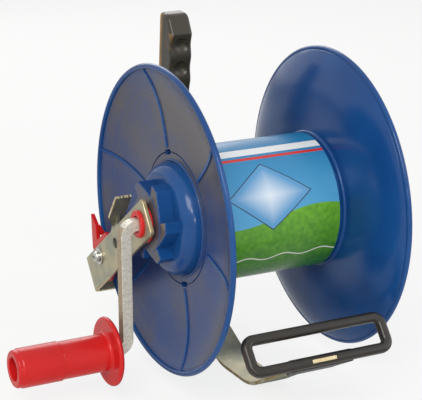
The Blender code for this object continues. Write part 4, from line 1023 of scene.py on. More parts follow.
def add_ribs(disc, side, settings):
    """Join the radial ribs to a disc's outer face."""
    width, height = settings.rib_width / MM, settings.rib_height / MM
    base = flared(RIB_START, BEAD_CENTRE[0] - 1, 16, -FLANGE_WALL / 2)
    crest = flared(RIB_START + height, BEAD_CENTRE[0] - 1, 16, height)
    rib = slab("rib", [(side * x, radius) for radius, x in base + crest[::-1]], -width / 2, width / 2)
    round_edges(rib, 0.5, 2, 60.0)
    set_down(rib, turn=tilted(RIB_PHASE) @ FACING_FRONT)
    fuse(disc, gather([rib] + [copied(rib, "rib", turn=tilted(2 * math.pi * index / RIB_COUNT))
                               for index in range(1, RIB_COUNT)]))


def paint_disc(disc, side):
    """Leave the bead and the ribs glossy, and give the faces between the ribs the eroded skin with its
    painted reflection.
    """
    coat(disc, "blue_polypropylene", "eroded_polypropylene_painted_reflection")
    edge = BEAD_CENTRE[0] - BEAD_RADIUS - 0.2

    def on_face(centre, normal):
        radius = math.hypot(centre.y, centre.z)
        stands = side * centre.x - flare_face(radius)
        return radius < edge and side * normal.x > 0.5 and SKIN_BAND[0] < stands < SKIN_BAND[1]

    coat_faces(disc, 1, on_face)


def notch_cutters():
    """Two square cutters across the seam between the cover and the disc, at the feet of two ribs."""
    width, height = NOTCH[0] / 2, NOTCH[1] / 2
    first = brick((-FLANGE_FACE - 1, -width, COVER_RADIUS - height),
                  (NOTCH_DEPTH - FLANGE_FACE, width, COVER_RADIUS + height))
    set_down(first, turn=tilted(RIB_PHASE))
    return first, copied(first, "cutter", turn=tilted(math.pi))


class REEL_OT_crank_side_disc(bpy.types.Operator):
    """Model the rim disc on the crank's side, open for the gear cover"""
    bl_idname = "reel.crank_side_disc"
    bl_label = "Crank side disc"

    def execute(self, context):
        settings = context.scene.reel_spool
        edge, step, floor = COVER_RADIUS + GAP, settings.seam / MM, FLANGE_FACE - SEAM_DEPTH
        section = disc_section(edge + step) + [
            (edge + step, floor), (edge, floor), (edge, COVER_BACK - GAP),
            (SPIGOT_RADIUS - SPIGOT_WALL, COVER_BACK - GAP)]
        disc = turned("crank_side_disc", mirrored(section), 144)
        add_ribs(disc, -1, settings)
        cut(disc, *notch_cutters())
        paint_disc(disc, -1)
        finished(disc, "spool", "spool_blue", "near_flange")
        return {"FINISHED"}


class REEL_OT_far_side_disc(bpy.types.Operator):
    """Model the rim disc on the far side, with its web and the boss round the bush"""
    bl_idname = "reel.far_side_disc"
    bl_label = "Far side disc"

    def execute(self, context):
        back = FLANGE_FACE - FLANGE_WALL
        section = disc_section(FLARE_START) + [
            *arc(2.5, -90, -180, 5, (BOSS_RADIUS + 2.5, FLANGE_FACE + 2.5)),
            *arc(1.0, 0, 90, 3, (BOSS_RADIUS - 1, BOSS_END - 1)),
            (BOSS_BORE, BOSS_END), (BOSS_BORE, SPIGOT_END), (BOSS_RADIUS, SPIGOT_END),
            (BOSS_RADIUS, back), (SPIGOT_RADIUS - SPIGOT_WALL, back)]
        disc = turned("far_side_disc", section, 144)
        add_ribs(disc, 1, context.scene.reel_spool)
        paint_disc(disc, 1)
        finished(disc, "spool", "spool_blue", "far_flange")
        return {"FINISHED"}


class REEL_OT_core(bpy.types.Operator):
    """Model the drum and the printed film round it"""
    bl_idname = "reel.core"
    bl_label = "Drum and label"

    def execute(self, context):
        inside, (web_back, web_face) = DRUM_RADIUS - DRUM_WALL, DRUM_WEB
        drum = turned("winding_drum", [
            *ring(inside, DRUM_RADIUS, -DRUM_END, DRUM_END), (inside, -web_back),
            (BOSS_BORE, -web_back), (BOSS_BORE, -web_face), (inside, -web_face)], 128)
        cut(drum, slab("cutter", hexagon(SUN_HEXAGON), -web_face - 1, 1 - web_back))
        finished(drum, "spool", "spool_blue", "drum")

        section = ring(DRUM_RADIUS + GAP, LABEL_RADIUS, *LABEL_ENDS, LABEL_CHAMFER)
        film = turned("printed_film", section, 160)
        finished(film, "spool", "label_film", "label_sleeve")
        return {"FINISHED"}


class REEL_OT_ratchet_cover(bpy.types.Operator):
    """Model the domed gear cover with the ratchet on it"""
    bl_idname = "reel.ratchet_cover"
    bl_label = "Ratchet cover"

    def shoulder(self, inset, first):
        """Quarter ellipse over the dome's edge, moved inward by an inset."""
        width, height = DOME_RADIUS - DOME_TOP_RADIUS - inset, DOME_HEIGHT - inset
        return [(DOME_TOP_RADIUS + width * u, FLANGE_FACE + height * v) for u, v in arc(1, first, 90, 10)]

    def execute(self, context):
        settings = context.scene.reel_spool
        edge, floor = COVER_RADIUS - settings.seam / MM, FLANGE_FACE - SEAM_DEPTH
        inside = DOME_FACE - COVER_WALL
        front_inside, tube = RATCHET_FACE - COVER_WALL, HUB_TUBE_RADIUS - COVER_WALL
        lip = arc(1.2, 0, 150, 6, (DOME_RADIUS + 0.9, FLANGE_FACE - 0.3))
        section = [(COVER_RADIUS, COVER_BACK), (COVER_RADIUS, floor), (edge, floor), (edge, FLANGE_FACE),
                   *lip, *self.shoulder(0.0, 12),
                   (HUB_TUBE_RADIUS, DOME_FACE), (HUB_TUBE_RADIUS, RATCHET_FACE - 0.6),
                   (HUB_TUBE_RADIUS - 0.6, RATCHET_FACE), (HUB_BORE, RATCHET_FACE), (HUB_BORE, inside),
                   (HUB_BORE + COVER_WALL, inside), (HUB_BORE + COVER_WALL, front_inside),
                   (tube, front_inside), (tube, inside), *self.shoulder(COVER_WALL, 0)[::-1],
                   (DOME_RADIUS - COVER_WALL, COVER_BACK)]
        cover = turned("ratchet_cover", mirrored(section), 128)
        outline = []
        for tooth in range(RATCHET_TEETH):
            face = RATCHET_PHASE + 360 / RATCHET_TEETH * tooth
            outline.append(polar(RATCHET_ROOT, face))
            outline += arc(RATCHET_RADIUS, face, face + RATCHET_LAND, 5)
        teeth = slab("teeth", outline, RATCHET_SET_BACK - RATCHET_FACE, COVER_WALL / 2 - DOME_FACE)
        round_edges(teeth, settings.tooth_round / MM, 3, 30.0)
        cut(teeth, rod(HUB_TUBE_RADIUS - COVER_WALL / 2, -RATCHET_FACE - 1, -inside, steps=64))
        fuse(cover, teeth)
        cut(cover, *notch_cutters())
        # The ratchet's face and the flat ring round the dome have the eroded skin, with its painted
        # reflection
        coat(cover, "blue_polypropylene", "eroded_polypropylene_painted_reflection")
        coat_faces(cover, 1, lambda centre, normal: normal.x < -0.97 and (
            centre.x < 5 - RATCHET_FACE or math.hypot(centre.y, centre.z) > DOME_RADIUS))
        finished(cover, "spool", "spool_blue", "gear_cover")
        return {"FINISHED"}


# Bearings

class REEL_OT_bearings(bpy.types.Operator):
    """Model the red bearing sleeve, the far bush and the far axle with its nut"""
    bl_idname = "reel.bearings"
    bl_label = "Bearings"

    def execute(self, context):
        lip = ARM_FACE + GAP
        section = [(SLEEVE_BORE + 0.5, SLEEVE_OUTSIDE),
                   *arc(1.1, 90, 0, 4, (SLEEVE_LIP_RADIUS - 1.1, SLEEVE_OUTSIDE - 1.1)),
                   (SLEEVE_LIP_RADIUS, lip), (SLEEVE_RADIUS, lip),
                   *ring(SLEEVE_RADIUS, SLEEVE_FLANGE_RADIUS, *SLEEVE_FLANGE)[::-1],
                   (SLEEVE_RADIUS, SLEEVE_INSIDE), (SLEEVE_BORE, SLEEVE_INSIDE),
                   (SLEEVE_BORE, SLEEVE_OUTSIDE - 0.5)]
        sleeve = turned("crank_bearing_sleeve", mirrored(section), 72)
        for side in (-1, 1):
            cut(sleeve, brick((-SLEEVE_FLAT_END, side * SLEEVE_FLAT, -SLEEVE_RADIUS),
                              (1 - SLEEVE_INSIDE, side * (SLEEVE_RADIUS + 1), SLEEVE_RADIUS)))
        finished(sleeve, "frame", "red_plastic", "bearing_sleeve")

        bore, (near, far) = AXLE_RADIUS + GAP, BUSH_FLANGE
        bush = turned("far_bearing_bush", [
            (bore, SPIGOT_END), (BUSH_RADIUS, SPIGOT_END), (BUSH_RADIUS, near), (BUSH_FLANGE_RADIUS, near),
            (BUSH_FLANGE_RADIUS, far - CHAMFER), (BUSH_FLANGE_RADIUS - CHAMFER, far), (bore, far)], 64)
        finished(bush, "spool", "red_plastic", "far_bush")

        (seat, end), corner = AXLE_HEAD, 1.5
        axle = turned("axle_bolt", [
            (0, AXLE_END), (AXLE_RADIUS - 1, AXLE_END), (AXLE_RADIUS, AXLE_END + 1), (AXLE_RADIUS, seat),
            (AXLE_HEAD_RADIUS, seat), *arc(corner, 0, 90, 5, (AXLE_HEAD_RADIUS - corner, end - corner)),
            (0, end)], 64)
        finished(axle, "frame", "bright_zinc", "far_axle")

        nut = slab("axle_bolt_nut", hexagon(AXLE_NUT_FLATS), *AXLE_NUT)
        round_edges(nut, 0.7, 2)
        cut(nut, rod(bore, AXLE_NUT[0] - 1, AXLE_NUT[1] + 1))
        finished(nut, "frame", "bright_zinc", "far_axle_nut")
        return {"FINISHED"}


# Frame

class REEL_OT_frame_bar(bpy.types.Operator):
    """Model the bent frame bar and the two rivets that hold the strip on it"""
    bl_idname = "reel.frame_bar"
    bl_label = "Frame bar and rivets"

    def execute(self, context):
        settings = context.scene.reel_steel
        arm, back, half = ARM_FACE - BAR_THICKNESS / 2, BACK_FACE - BAR_THICKNESS / 2, BAR_WIDTH / 2
        corners = [(-arm, -ARM_OVERHANG), (-arm, back), (arm, back), (arm, -ARM_OVERHANG)]
        outline = bent_path(corners, (BAR_BEND, BAR_BEND), BAR_THICKNESS)
        bar = set_down(slab("bent_frame_bar", outline, -half, half), turn=LAID_FLAT)
        round_some(bar, settings.corner / MM, 5, lambda start, end: abs(start.z - end.z) < 0.01
                   and max(start.y, end.y) < 0.01 - ARM_OVERHANG)
        round_edges(bar, settings.bar_edge / MM, 3, 50.0)
        coat(bar, "passivated_zinc", "sheared_zinc_edge")
        coat_faces(bar, 1, lambda centre, normal: abs(normal.z) > 0.6
                   or (normal.y < -0.6 and centre.y < 3 - ARM_OVERHANG))
        inner, outer = ARM_FACE - BAR_THICKNESS - 1, ARM_FACE + 1
        cut(bar, rod(SLEEVE_HOLE, -outer, -inner), rod(STOP_HOLE, -outer, -inner, STOP_HOLE_PLACE),
            rod(PIVOT_HOLE, -outer, -inner, PIVOT_PLACE), rod(AXLE_RADIUS + GAP, inner, outer))
        for x in RIVET_PLACES:
            hole = rod(RIVET_RADIUS + GAP, BACK_FACE - BAR_THICKNESS - 1, BACK_FACE + 1, steps=24)
            cut(bar, set_down(hole, (x, 0, 0), ALONG_Y))
        finished(on_frame(bar), "frame", "passivated_steel", "frame_bar")

        inner, outer = BACK_FACE - BAR_THICKNESS - GAP, STRIP_ON_BAR + STRIP_THICKNESS / 2 + GAP
        crown = [(RIVET_HEAD_RADIUS * u, RIVET_HEAD * v) for u, v in arc(1, 90, 0, 7)]
        section = [(r, inner - x) for r, x in crown] + [(RIVET_RADIUS, inner), (RIVET_RADIUS, outer)]
        section += [(r, outer + x) for r, x in crown[::-1]]
        section[0], section[-1] = (0, section[0][1]), (0, section[-1][1])
        first = set_down(turned("domed_rivet_1", section, 32), (RIVET_PLACES[0], 0, 0), ALONG_Y)
        second = copied(first, "domed_rivet_2", (RIVET_PLACES[1] - RIVET_PLACES[0], 0, 0))
        finished(on_frame(first), "frame", "bright_zinc", "frame_rivet_1")
        finished(on_frame(second), "frame", "bright_zinc", "frame_rivet_2")
        return {"FINISHED"}


class REEL_OT_strip(bpy.types.Operator):
    """Model the strip that joins the wire guide, the frame and the grip"""
    bl_idname = "reel.strip"
    bl_label = "Strip"

    def execute(self, context):
        half, thick = STRIP_WIDTH / 2, STRIP_THICKNESS
        strip = slab("bent_strip", bent_path(strip_corners(), STRIP_BENDS, thick, 14), -half, half)
        for side in (-1, 1):
            beside = side * (half + 1)
            cut(strip, on_tongue(brick((side * TONGUE_WIDTH / 2, -2 * TONGUE_PROUD, -thick),
                                       (beside, BOSS_REACH[1] + 2, thick))))
            cut(strip, on_grip(brick((side * TANG_WIDTH / 2, -thick, -TANG_SHOULDER),
                                     (beside, thick, TANG_LENGTH + 1))))
        round_edges(strip, context.scene.reel_steel.strip_edge / MM, 2, 50.0)
        coat(strip, "passivated_zinc", "sheared_zinc_edge")
        tip = strip_corners()[0]
        coat_faces(strip, 1, lambda centre, normal: abs(normal.x) > 0.6
                   or (centre.yz - tip).length < thick / 2)
        for x in RIVET_PLACES:
            hole = rod(RIVET_RADIUS + GAP, BACK_FACE - 1, STRIP_ON_BAR + thick, steps=24)
            cut(strip, on_frame(set_down(hole, (x, 0, 0), ALONG_Y)))
        for height in GRIP_SCREW_PLACES:
            hole = set_down(rod(GRIP_SCREW_RADIUS + GAP, -thick, thick, steps=24), (0, 0, height), ALONG_Y)
            cut(strip, on_grip(hole))
        finished(strip, "frame", "passivated_steel", "spine_strip")
        return {"FINISHED"}


class REEL_OT_wire_guide(bpy.types.Operator):
    """Model the loop that leads the wire, with the boss that holds the strip's tongue"""
    bl_idname = "reel.wire_guide"
    bl_label = "Wire guide"

    def execute(self, context):
        rounding = context.scene.reel_grip.guide_round / MM
        length, height = GUIDE_HOLE
        half = GUIDE_BAR / 2
        outline = rounded_rectangle(length + 2 * GUIDE_BAR, height + 2 * GUIDE_BAR, GUIDE_CORNER, 8)
        hole = rounded_rectangle(length, height, GUIDE_HOLE_CORNER, 6)
        loop = slab("wire_guide_loop", outline, -half, half)
        cut(loop, slab("cutter", hole, -half - 1, half + 1))
        round_edges(loop, rounding, 5, 60.0)
        set_down(loop, turn=FACING_FRONT)
        set_down(loop, (0, 0, (height + GUIDE_BAR) / 2))
        set_down(loop, (0, *GUIDE_PLACE), tilted(GUIDE_LEAN))
        start, end = BOSS_REACH
        waist = [(BOSS_FOOT + (BOSS_NECK - BOSS_FOOT) * (1 - math.cos(math.pi * step / 8)) / 2,
                  start + (end - start) * step / 8) for step in range(9)]
        boss = slab("boss", [(-x, y) for x, y in waist] + waist[::-1], -BOSS_THICKNESS / 2,
                    BOSS_THICKNESS / 2)
        round_edges(boss, 1.2, 3, 50.0)
        fuse(loop, on_tongue(set_down(boss, turn=LAID_FLAT)))
        half_width, half_thickness = TONGUE_WIDTH / 2 + GAP, STRIP_THICKNESS / 2 + GAP
        cut(loop, on_tongue(brick((-half_width, -2 * GUIDE_BAR, -half_thickness),
                                  (half_width, end + 1, half_thickness))))
        finished(loop, "frame", "black_plastic", "wire_guide")
        return {"FINISHED"}


def cross_recess(top, reach, depth):
    """Two crossed cutters for a screwdriver, sunk into a head whose top is at an X."""
    return [brick((top - depth, -y, -z), (top + 1, y, z))
            for y, z in ((reach, RECESS_WIDTH / 2), (RECESS_WIDTH / 2, reach))]


class REEL_OT_grip(bpy.types.Operator):
    """Model the two halves of the pistol grip and the screws through them"""
    bl_idname = "reel.grip"
    bl_label = "Pistol grip"

    def execute(self, context):
        settings = context.scene.reel_grip
        front, half = -GRIP_FRONT - GROOVE_WAVE, GRIP_WIDTH / 2
        slope = GRIP_LENGTH - GRIP_SLOPE_LENGTH
        count = round(slope / GROOVE_PITCH * 12)
        outline = [(front - GROOVE_WAVE * math.cos(
            2 * math.pi * (count - index) * slope / count / GROOVE_PITCH), slope * index / count)
            for index in range(count + 1)]
        outline += [(GRIP_SLOPE_DEPTH - GRIP_FRONT, GRIP_LENGTH), (GRIP_BACK, GRIP_LENGTH), (GRIP_BACK, 0)]
        seat = GRIP_BACK - GRIP_SCREW_SINK - GRIP_SCREW_HEAD - GAP
        half_width, half_thickness = TANG_WIDTH / 2 + GAP, STRIP_THICKNESS / 2 + GAP
        for name, side in (("front", -1), ("back", 1)):
            grip = slab(f"grip_shell_{name}", outline, -half, half)
            round_some(grip, settings.grip_round / MM, 5, lambda start, end: abs(start.x - end.x) > 1
                       and min(start.z, end.z) > GRIP_LENGTH - 0.01)
            round_some(grip, GRIP_EDGE, 4, lambda start, end: abs(start.x - end.x) < 0.01
                       and min(abs(start.x), abs(end.x)) > half - 0.01 and max(start.z, end.z) > 0.01)
            round_some(grip, GRIP_FOOT_EDGE, 3, lambda start, end: max(start.z, end.z) < 0.01)
            if side < 0:
                height = slope - GROOVE_PITCH / 2
                first = ball((0, front - SCOOP[1] + settings.groove_depth / MM, height), SCOOP)
                cut(grip, *[copied(first, "cutter", (0, 0, -GROOVE_PITCH * number))
                            for number in range(1, GROOVE_COUNT)], first)
            cut(grip, brick((-GRIP_WIDTH, -side * 2 * GRIP_FRONT, -1),
                            (GRIP_WIDTH, side * GAP / 2, GRIP_LENGTH + 1)),
                brick((-half_width, -half_thickness, -1), (half_width, half_thickness, TANG_LENGTH + GAP)))
            for height in GRIP_SCREW_PLACES:
                shank = rod(GRIP_SCREW_RADIUS + GAP, -GRIP_SCREW_REACH - GAP, seat + 1, steps=24)
                head = rod(GRIP_SCREW_HEAD_RADIUS + GAP, seat, GRIP_BACK + 1, steps=32)
                cut(grip, set_down(shank, (0, 0, height), ALONG_Y), set_down(head, (0, 0, height), ALONG_Y))
            finished(on_grip(grip), "frame", "grip_plastic", f"grip_{name}")
        top, radius = GRIP_BACK - GRIP_SCREW_SINK, GRIP_SCREW_HEAD_RADIUS
        first = turned("grip_shell_screw_1", [
            (0, -GRIP_SCREW_REACH), (GRIP_SCREW_RADIUS, -GRIP_SCREW_REACH),
            (GRIP_SCREW_RADIUS, top - GRIP_SCREW_HEAD), (radius, top - GRIP_SCREW_HEAD),
            *arc(1.2, 0, 90, 4, (radius - 1.2, top - 1.2)), (0, top)], 32)
        cut(first, *cross_recess(top, 2.1, 1.4))
        set_down(first, (0, 0, GRIP_SCREW_PLACES[0]), ALONG_Y)
        second = copied(first, "grip_shell_screw_2", (0, 0, GRIP_SCREW_PLACES[1] - GRIP_SCREW_PLACES[0]))
        finished(on_grip(first), "frame", "bright_zinc", "grip_screw_1")
        finished(on_grip(second), "frame", "bright_zinc", "grip_screw_2")
        return {"FINISHED"}


# Crank

class REEL_OT_crank(bpy.types.Operator):
    """Model the bent crank bar and the clip on its end"""
    bl_idname = "reel.crank"
    bl_label = "Crank and clip"

    def execute(self, context):
        corners = [(-CRANK_START, 0), (-CRANK_FACE, 0), (-CRANK_FACE, -CRANK_THROW),
                   (-CRANK_END, -CRANK_THROW)]
        half = CRANK_BAR / 2
        outline = bent_path(corners, (CRANK_BEND, CRANK_BEND), CRANK_BAR, 14)
        bar = slab("bent_crank_bar", outline, -half, half)
        set_down(bar, turn=FACING_FRONT)
        round_edges(bar, context.scene.reel_handle.bar_round / MM, 3, 50.0)
        radius, depth = CRANK_THREAD
        cut(bar, rod(radius, -CRANK_START - depth, 1 - CRANK_START, steps=24))
        # The faces that look away from the spool get a darker, browner copy of the iron: painted shade
        coat(bar, "galvanised_iron", "galvanised_iron_painted_shade")
        coat_faces(bar, 1, lambda centre, normal: normal.x < -0.8)
        finished(bar, "crank", "galvanised_steel", "crank_arm")

        near, far = CLIP
        clip = turned("push_on_clip", mirrored([
            (0, near), (CLIP_RADIUS - 0.3, near), (CLIP_RADIUS, near + 0.3), (CLIP_RADIUS, far - 0.9),
            (CLIP_RADIUS - 0.5, far - 0.5), (CLIP_RADIUS - 2.0, far), (0, far)]), 48)
        half = CLIP_SQUARE / 2
        cut(clip, brick((-far - 1, -half, -half), (1 - near, half, half)))
        set_down(clip, (0, 0, -CRANK_THROW))
        finished(clip, "crank", "bright_zinc", "handle_clip")
        return {"FINISHED"}


class REEL_OT_handle(bpy.types.Operator):
    """Model the red handle with its hand flange, seam, end ring and open mouth"""
    bl_idname = "reel.handle"
    bl_label = "Crank handle"

    def execute(self, context):
        seam = context.scene.reel_handle.seam_depth / MM
        start, end, half = HANDLE_START, HANDLE_END, HANDLE_FLANGE / 2
        barrel, step, tip = start + HANDLE_FLANGE, end - HANDLE_TIP_LENGTH, HANDLE_TIP_RADIUS
        # Hand flange, fillet and barrel, the seam before the tip, the step to its end ring, and the mouth
        section = [(HANDLE_BORE, start),
                   *arc(half, -90, 90, 12, (HANDLE_FLANGE_RADIUS - half, start + half)),
                   *arc(HANDLE_FILLET, 270, 180, 7, (HANDLE_RADIUS + HANDLE_FILLET, barrel + HANDLE_FILLET)),
                   (HANDLE_RADIUS, step - 0.5), (HANDLE_RADIUS - seam, step), (tip - 0.5, step + 0.2),
                   (tip, step + 0.8), (tip, end - 6.0), (tip - 0.5, end - 5.3), (tip - 0.9, end - 4.2),
                   *arc(2.2, 0, 80, 6, (tip - 3.1, end - 2.2)),
                   (HANDLE_MOUTH + 0.7, end), (HANDLE_MOUTH, end - 0.8), (HANDLE_MOUTH, HANDLE_SEAT),
                   (HANDLE_BORE, HANDLE_SEAT)]
        handle = set_down(turned("red_crank_handle", mirrored(section), 96), (0, 0, -CRANK_THROW))
        finished(handle, "handle", "red_plastic", "crank_handle", smooth=40.0)
        return {"FINISHED"}


# Latch

class REEL_OT_latch(bpy.types.Operator):
    """Model the red latch lever and the steel pawl that it carries"""
    bl_idname = "reel.latch"
    bl_label = "Latch"

    def execute(self, context):
        face, back = LEVER
        lever = slab("red_latch_lever", LEVER_OUTLINE, -face, -back)
        round_edges(lever, 0.6, 3, 30.0)
        sides, (low, high) = LEVER_GUSSET
        gusset = slab("gusset", [(-back - 1, low), (-LEVER_RIB_END, low), (-back, high), (-back - 1, high)],
                      *sides)
        set_down(gusset, turn=FACING_FRONT)
        fuse(lever, rod(LEVER_HUB_RADIUS, -LATCH_FACE, 1 - face), gusset,
             rod(PEG_RADIUS, -back - 1, -PAWL_LEG[1], PEG_PLACE, 24))
        cut(lever, rod(PIVOT_HOLE, -LATCH_FACE - 1, 1 - back))
        finished(on_pivot(lever), "latch", "red_plastic", "latch_lever")

        way = Vector((math.cos(PAWL_TILT), math.sin(PAWL_TILT)))
        outward = -to_left(way) * PAWL_THICKNESS / 2
        top, foot = Vector(PAWL_BASE) + way * PAWL_OVERLAP, Vector(PAWL_BASE) - way * PAWL_FOOT
        neck = [tuple(foot + outward), tuple(top + outward), tuple(top - outward)]
        pawl = slab("steel_pawl", neck + arc(PAWL_EYE, 170, 375, 24), -PAWL_LEG[0], -PAWL_LEG[1])
        width = LATCH_FACE - PAWL_REACH
        torn = [(PAWL_LENGTH - TEAR_DEPTH * (1 - math.cos(TEAR_WAVE * step)),
                 -PAWL_REACH - width * step / TEAR_STEPS) for step in range(TEAR_STEPS + 1)]
        tab = slab("tab", [(-PAWL_FOOT, -PAWL_REACH), *torn, (0, -LATCH_FACE),
                           (-PAWL_FOOT, -PAWL_LEG[0])], -PAWL_THICKNESS / 2, PAWL_THICKNESS / 2)
        set_down(tab, turn=ON_EDGE)
        fuse(pawl, set_down(tab, (0, *PAWL_BASE), tilted(PAWL_TILT)))
        cut(pawl, rod(PIVOT_HOLE, -PAWL_LEG[0] - 1, 1 - PAWL_LEG[1]),
            rod(PEG_RADIUS + GAP, -PAWL_LEG[0] - 1, 1 - PAWL_LEG[1], PEG_PLACE, 24))
        coat(pawl, "passivated_zinc", "sheared_zinc_edge")
        coat_faces(pawl, 1, lambda centre, normal: abs(normal.yz.dot(way)) > 0.9
                   or (centre.x < 0.5 - LATCH_FACE and normal.x < -0.6))
        finished(on_pivot(pawl), "latch", "passivated_steel", "latch_pawl")
        return {"FINISHED"}


class REEL_OT_latch_fasteners(bpy.types.Operator):
    """Model the screw, washer and nut that hold the latch"""
    bl_idname = "reel.latch_fasteners"
    bl_label = "Latch fasteners"

    def execute(self, context):
        (seat, top), radius = LATCH_SCREW_HEAD, LATCH_SCREW_HEAD_RADIUS
        section = [(0, LATCH_SCREW_END), (PIVOT_RADIUS - 0.5, LATCH_SCREW_END),
                   (PIVOT_RADIUS, LATCH_SCREW_END + 0.5), (PIVOT_RADIUS, seat), (radius, seat),
                   (radius, seat + 0.9), *arc(2.4, 10, 90, 7, (radius - 2.4, top - 2.4)), (0, top)]
        screw = turned("latch_pivot_screw", section, 48)
        cut(screw, *cross_recess(top, 2.7, 1.8))
        set_down(screw, turn=ABOUT_FACE)
        finished(on_pivot(screw), "frame", "bright_zinc", "latch_screw")

        inner, outer = LATCH_WASHER
        washer = turned("latch_pivot_washer", mirrored([
            (PIVOT_HOLE, inner), (WASHER_RADIUS, inner), (WASHER_RADIUS, outer - 0.3),
            (WASHER_RADIUS - 0.3, outer), (PIVOT_HOLE, outer)]), 48)
        finished(on_pivot(washer), "frame", "bright_zinc", "latch_washer")

        face, end = LATCH_NUT
        nut = slab("latch_pivot_nut", hexagon(LATCH_NUT_FLATS), -face, -end)
        round_edges(nut, 0.5, 2)
        cut(nut, rod(PIVOT_HOLE, -face - 1, 1 - end, steps=32))
        finished(on_pivot(nut), "frame", "bright_zinc", "latch_nut")
        return {"FINISHED"}


class REEL_OT_gear_finishes(bpy.types.Operator):
    """Give the gears and their pins inside the drum their finishes"""
    bl_idname = "reel.gear_finishes"
    bl_label = "Gear finishes"

    def execute(self, context):
        gears = ["sun_gear", "ring_gear"] + [f"planet_gear_{number}" for number in (1, 2, 3)]
        metal = ["planet_carrier", "crank_washer", "crank_screw"]
        metal += [f"planet_pin_{number}" for number in (1, 2, 3)]
        for nodes, name in ((gears, "natural_nylon"), (metal, "bright_zinc_plating")):
            for node in nodes:
                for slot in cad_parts[node].material_slots:
                    slot.material = finish(name)
        return {"FINISHED"}


# Stage

def area_lamp(name, place, extent, power, tint):
    """A square soft lamp that looks at the spool's middle."""
    lamp = bpy.data.objects.new(name, bpy.data.lights.new(name, "AREA"))
    lamp.data.size = extent
    lamp.data.energy = power
    lamp.data.color = linear(tint)
    lamp.location = place
    view = Vector((0, 0, AXIS * MM)) - Vector(place)
    lamp.rotation_euler = view.to_track_quat("-Z", "Y").to_euler()
    bpy.context.scene.collection.objects.link(lamp)


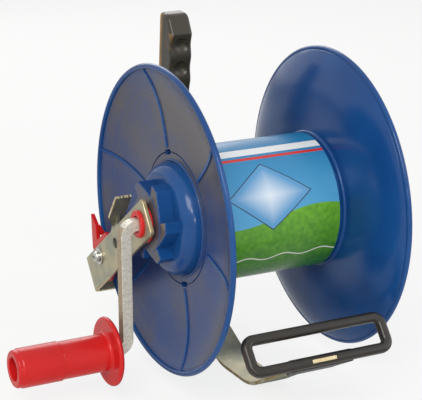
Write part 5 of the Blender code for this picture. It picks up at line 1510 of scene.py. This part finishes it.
class REEL_OT_studio(bpy.types.Operator):
    """Set up the floor, the white surroundings, the lamps and the camera"""
    bl_idname = "reel.studio"
    bl_label = "Studio"

    def execute(self, context):
        scene, settings = context.scene, context.scene.reel_studio
        bpy.ops.object.select_all(action="DESELECT")
        bpy.ops.mesh.primitive_plane_add(size=FLOOR_SIZE, location=(0, 0, -FLOOR_DROP * MM))
        bpy.ops.object.transform_apply(location=True)
        floor = context.object
        floor.name = "studio_floor"
        material = bpy.data.materials.new("matt_white_paper")
        material.use_nodes = True
        tree = material.node_tree
        paper = tree.nodes["Principled BSDF"]
        paper.inputs["Base Color"].default_value = (*settings.floor, 1.0)
        paper.inputs["Roughness"].default_value = 0.9
        paper.inputs["Specular IOR Level"].default_value = 0.0
        glow = add(tree, "Emission", {"Color": linear("ffffff"), "Strength": 1.0})
        rays = add(tree, "LightPath")
        share = add(tree, "Math", {0: rays.outputs["Is Camera Ray"], 1: FLOOR_GLOW}, operation="MULTIPLY")
        mixed = add(tree, "MixShader", {0: share, 1: paper.outputs[0], 2: glow})
        tree.links.new(mixed.outputs[0], tree.nodes["Material Output"].inputs["Surface"])
        floor.data.materials.append(material)

        world = bpy.data.worlds.new("white_studio")
        scene.world = world
        world.use_nodes = True
        tree = world.node_tree
        rays = add(tree, "LightPath")
        seen = add(tree, "Math", {0: rays.outputs["Is Camera Ray"], 1: rays.outputs["Is Glossy Ray"]},
                   operation="MAXIMUM")
        through = add(tree, "Math", {0: seen, 1: rays.outputs["Is Transmission Ray"]}, operation="MAXIMUM")
        strength = add(tree, "MapRange", {"Value": through, "To Min": SURROUNDINGS[0],
                                          "To Max": SURROUNDINGS[1]})
        tree.nodes["Background"].inputs["Color"].default_value = (1.0, 1.0, 1.0, 1.0)
        tree.links.new(strength.outputs[0], tree.nodes["Background"].inputs["Strength"])
        for lamp in LAMPS:
            area_lamp(*lamp)

        azimuth, elevation, roll = settings.azimuth, settings.elevation, CAMERA_ROLL
        back = Vector((math.sin(azimuth) * math.cos(elevation),
                       -math.cos(azimuth) * math.cos(elevation), math.sin(elevation)))
        right = Vector((0, 0, 1)).cross(back).normalized()
        rise = back.cross(right)
        turned_right = right * math.cos(roll) + rise * math.sin(roll)
        turned_up = rise * math.cos(roll) - right * math.sin(roll)
        beside = turned_right * CAMERA_AIM[0] + turned_up * CAMERA_AIM[1]
        target = (Vector((0, 0, AXIS)) + beside) * MM
        camera = bpy.data.objects.new("camera", bpy.data.cameras.new("camera"))
        camera.data.sensor_fit = "HORIZONTAL"
        camera.data.sensor_width = 36.0
        camera.data.lens = CAMERA_LENS
        camera.data.clip_end = 50.0
        camera.location = target + back * settings.distance
        camera.rotation_euler = Matrix((turned_right, turned_up, back)).transposed().to_euler()
        scene.collection.objects.link(camera)
        scene.camera = camera
        scene.view_settings.view_transform = "Standard"
        return {"FINISHED"}


OPERATORS = (
    REEL_OT_crank_side_disc, REEL_OT_far_side_disc, REEL_OT_core, REEL_OT_ratchet_cover,
    REEL_OT_bearings, REEL_OT_frame_bar, REEL_OT_strip, REEL_OT_wire_guide, REEL_OT_grip,
    REEL_OT_crank, REEL_OT_handle, REEL_OT_latch, REEL_OT_latch_fasteners, REEL_OT_gear_finishes,
    REEL_OT_studio)


class REEL_PT_panel(bpy.types.Panel):
    """List the reel's settings and the operators that make its pieces"""
    bl_idname = "REEL_PT_panel"
    bl_label = "Fence wire reel"
    bl_space_type = "VIEW_3D"
    bl_region_type = "UI"
    bl_category = "Wire reel"

    def draw(self, context):
        for name, group in SETTINGS.items():
            box = self.layout.box()
            for setting in group.__annotations__:
                box.prop(getattr(context.scene, name), setting)
        for operator in OPERATORS:
            self.layout.operator(operator.bl_idname)


def register():
    """Register the settings, the operators and the panel."""
    for kind in (*SETTINGS.values(), *OPERATORS, REEL_PT_panel):
        bpy.utils.register_class(kind)
    for name, group in SETTINGS.items():
        setattr(bpy.types.Scene, name, bpy.props.PointerProperty(type=group))


def unregister():
    """Take them away again."""
    for name in SETTINGS:
        delattr(bpy.types.Scene, name)
    for kind in (REEL_PT_panel, *reversed(OPERATORS), *reversed(SETTINGS.values())):
        bpy.utils.unregister_class(kind)


def main():
    """Make every piece and the stage."""
    register()
    for operator in OPERATORS:
        group, name = operator.bl_idname.split(".")
        getattr(getattr(bpy.ops, group), name)()


if __name__ == "__main__":
    main()
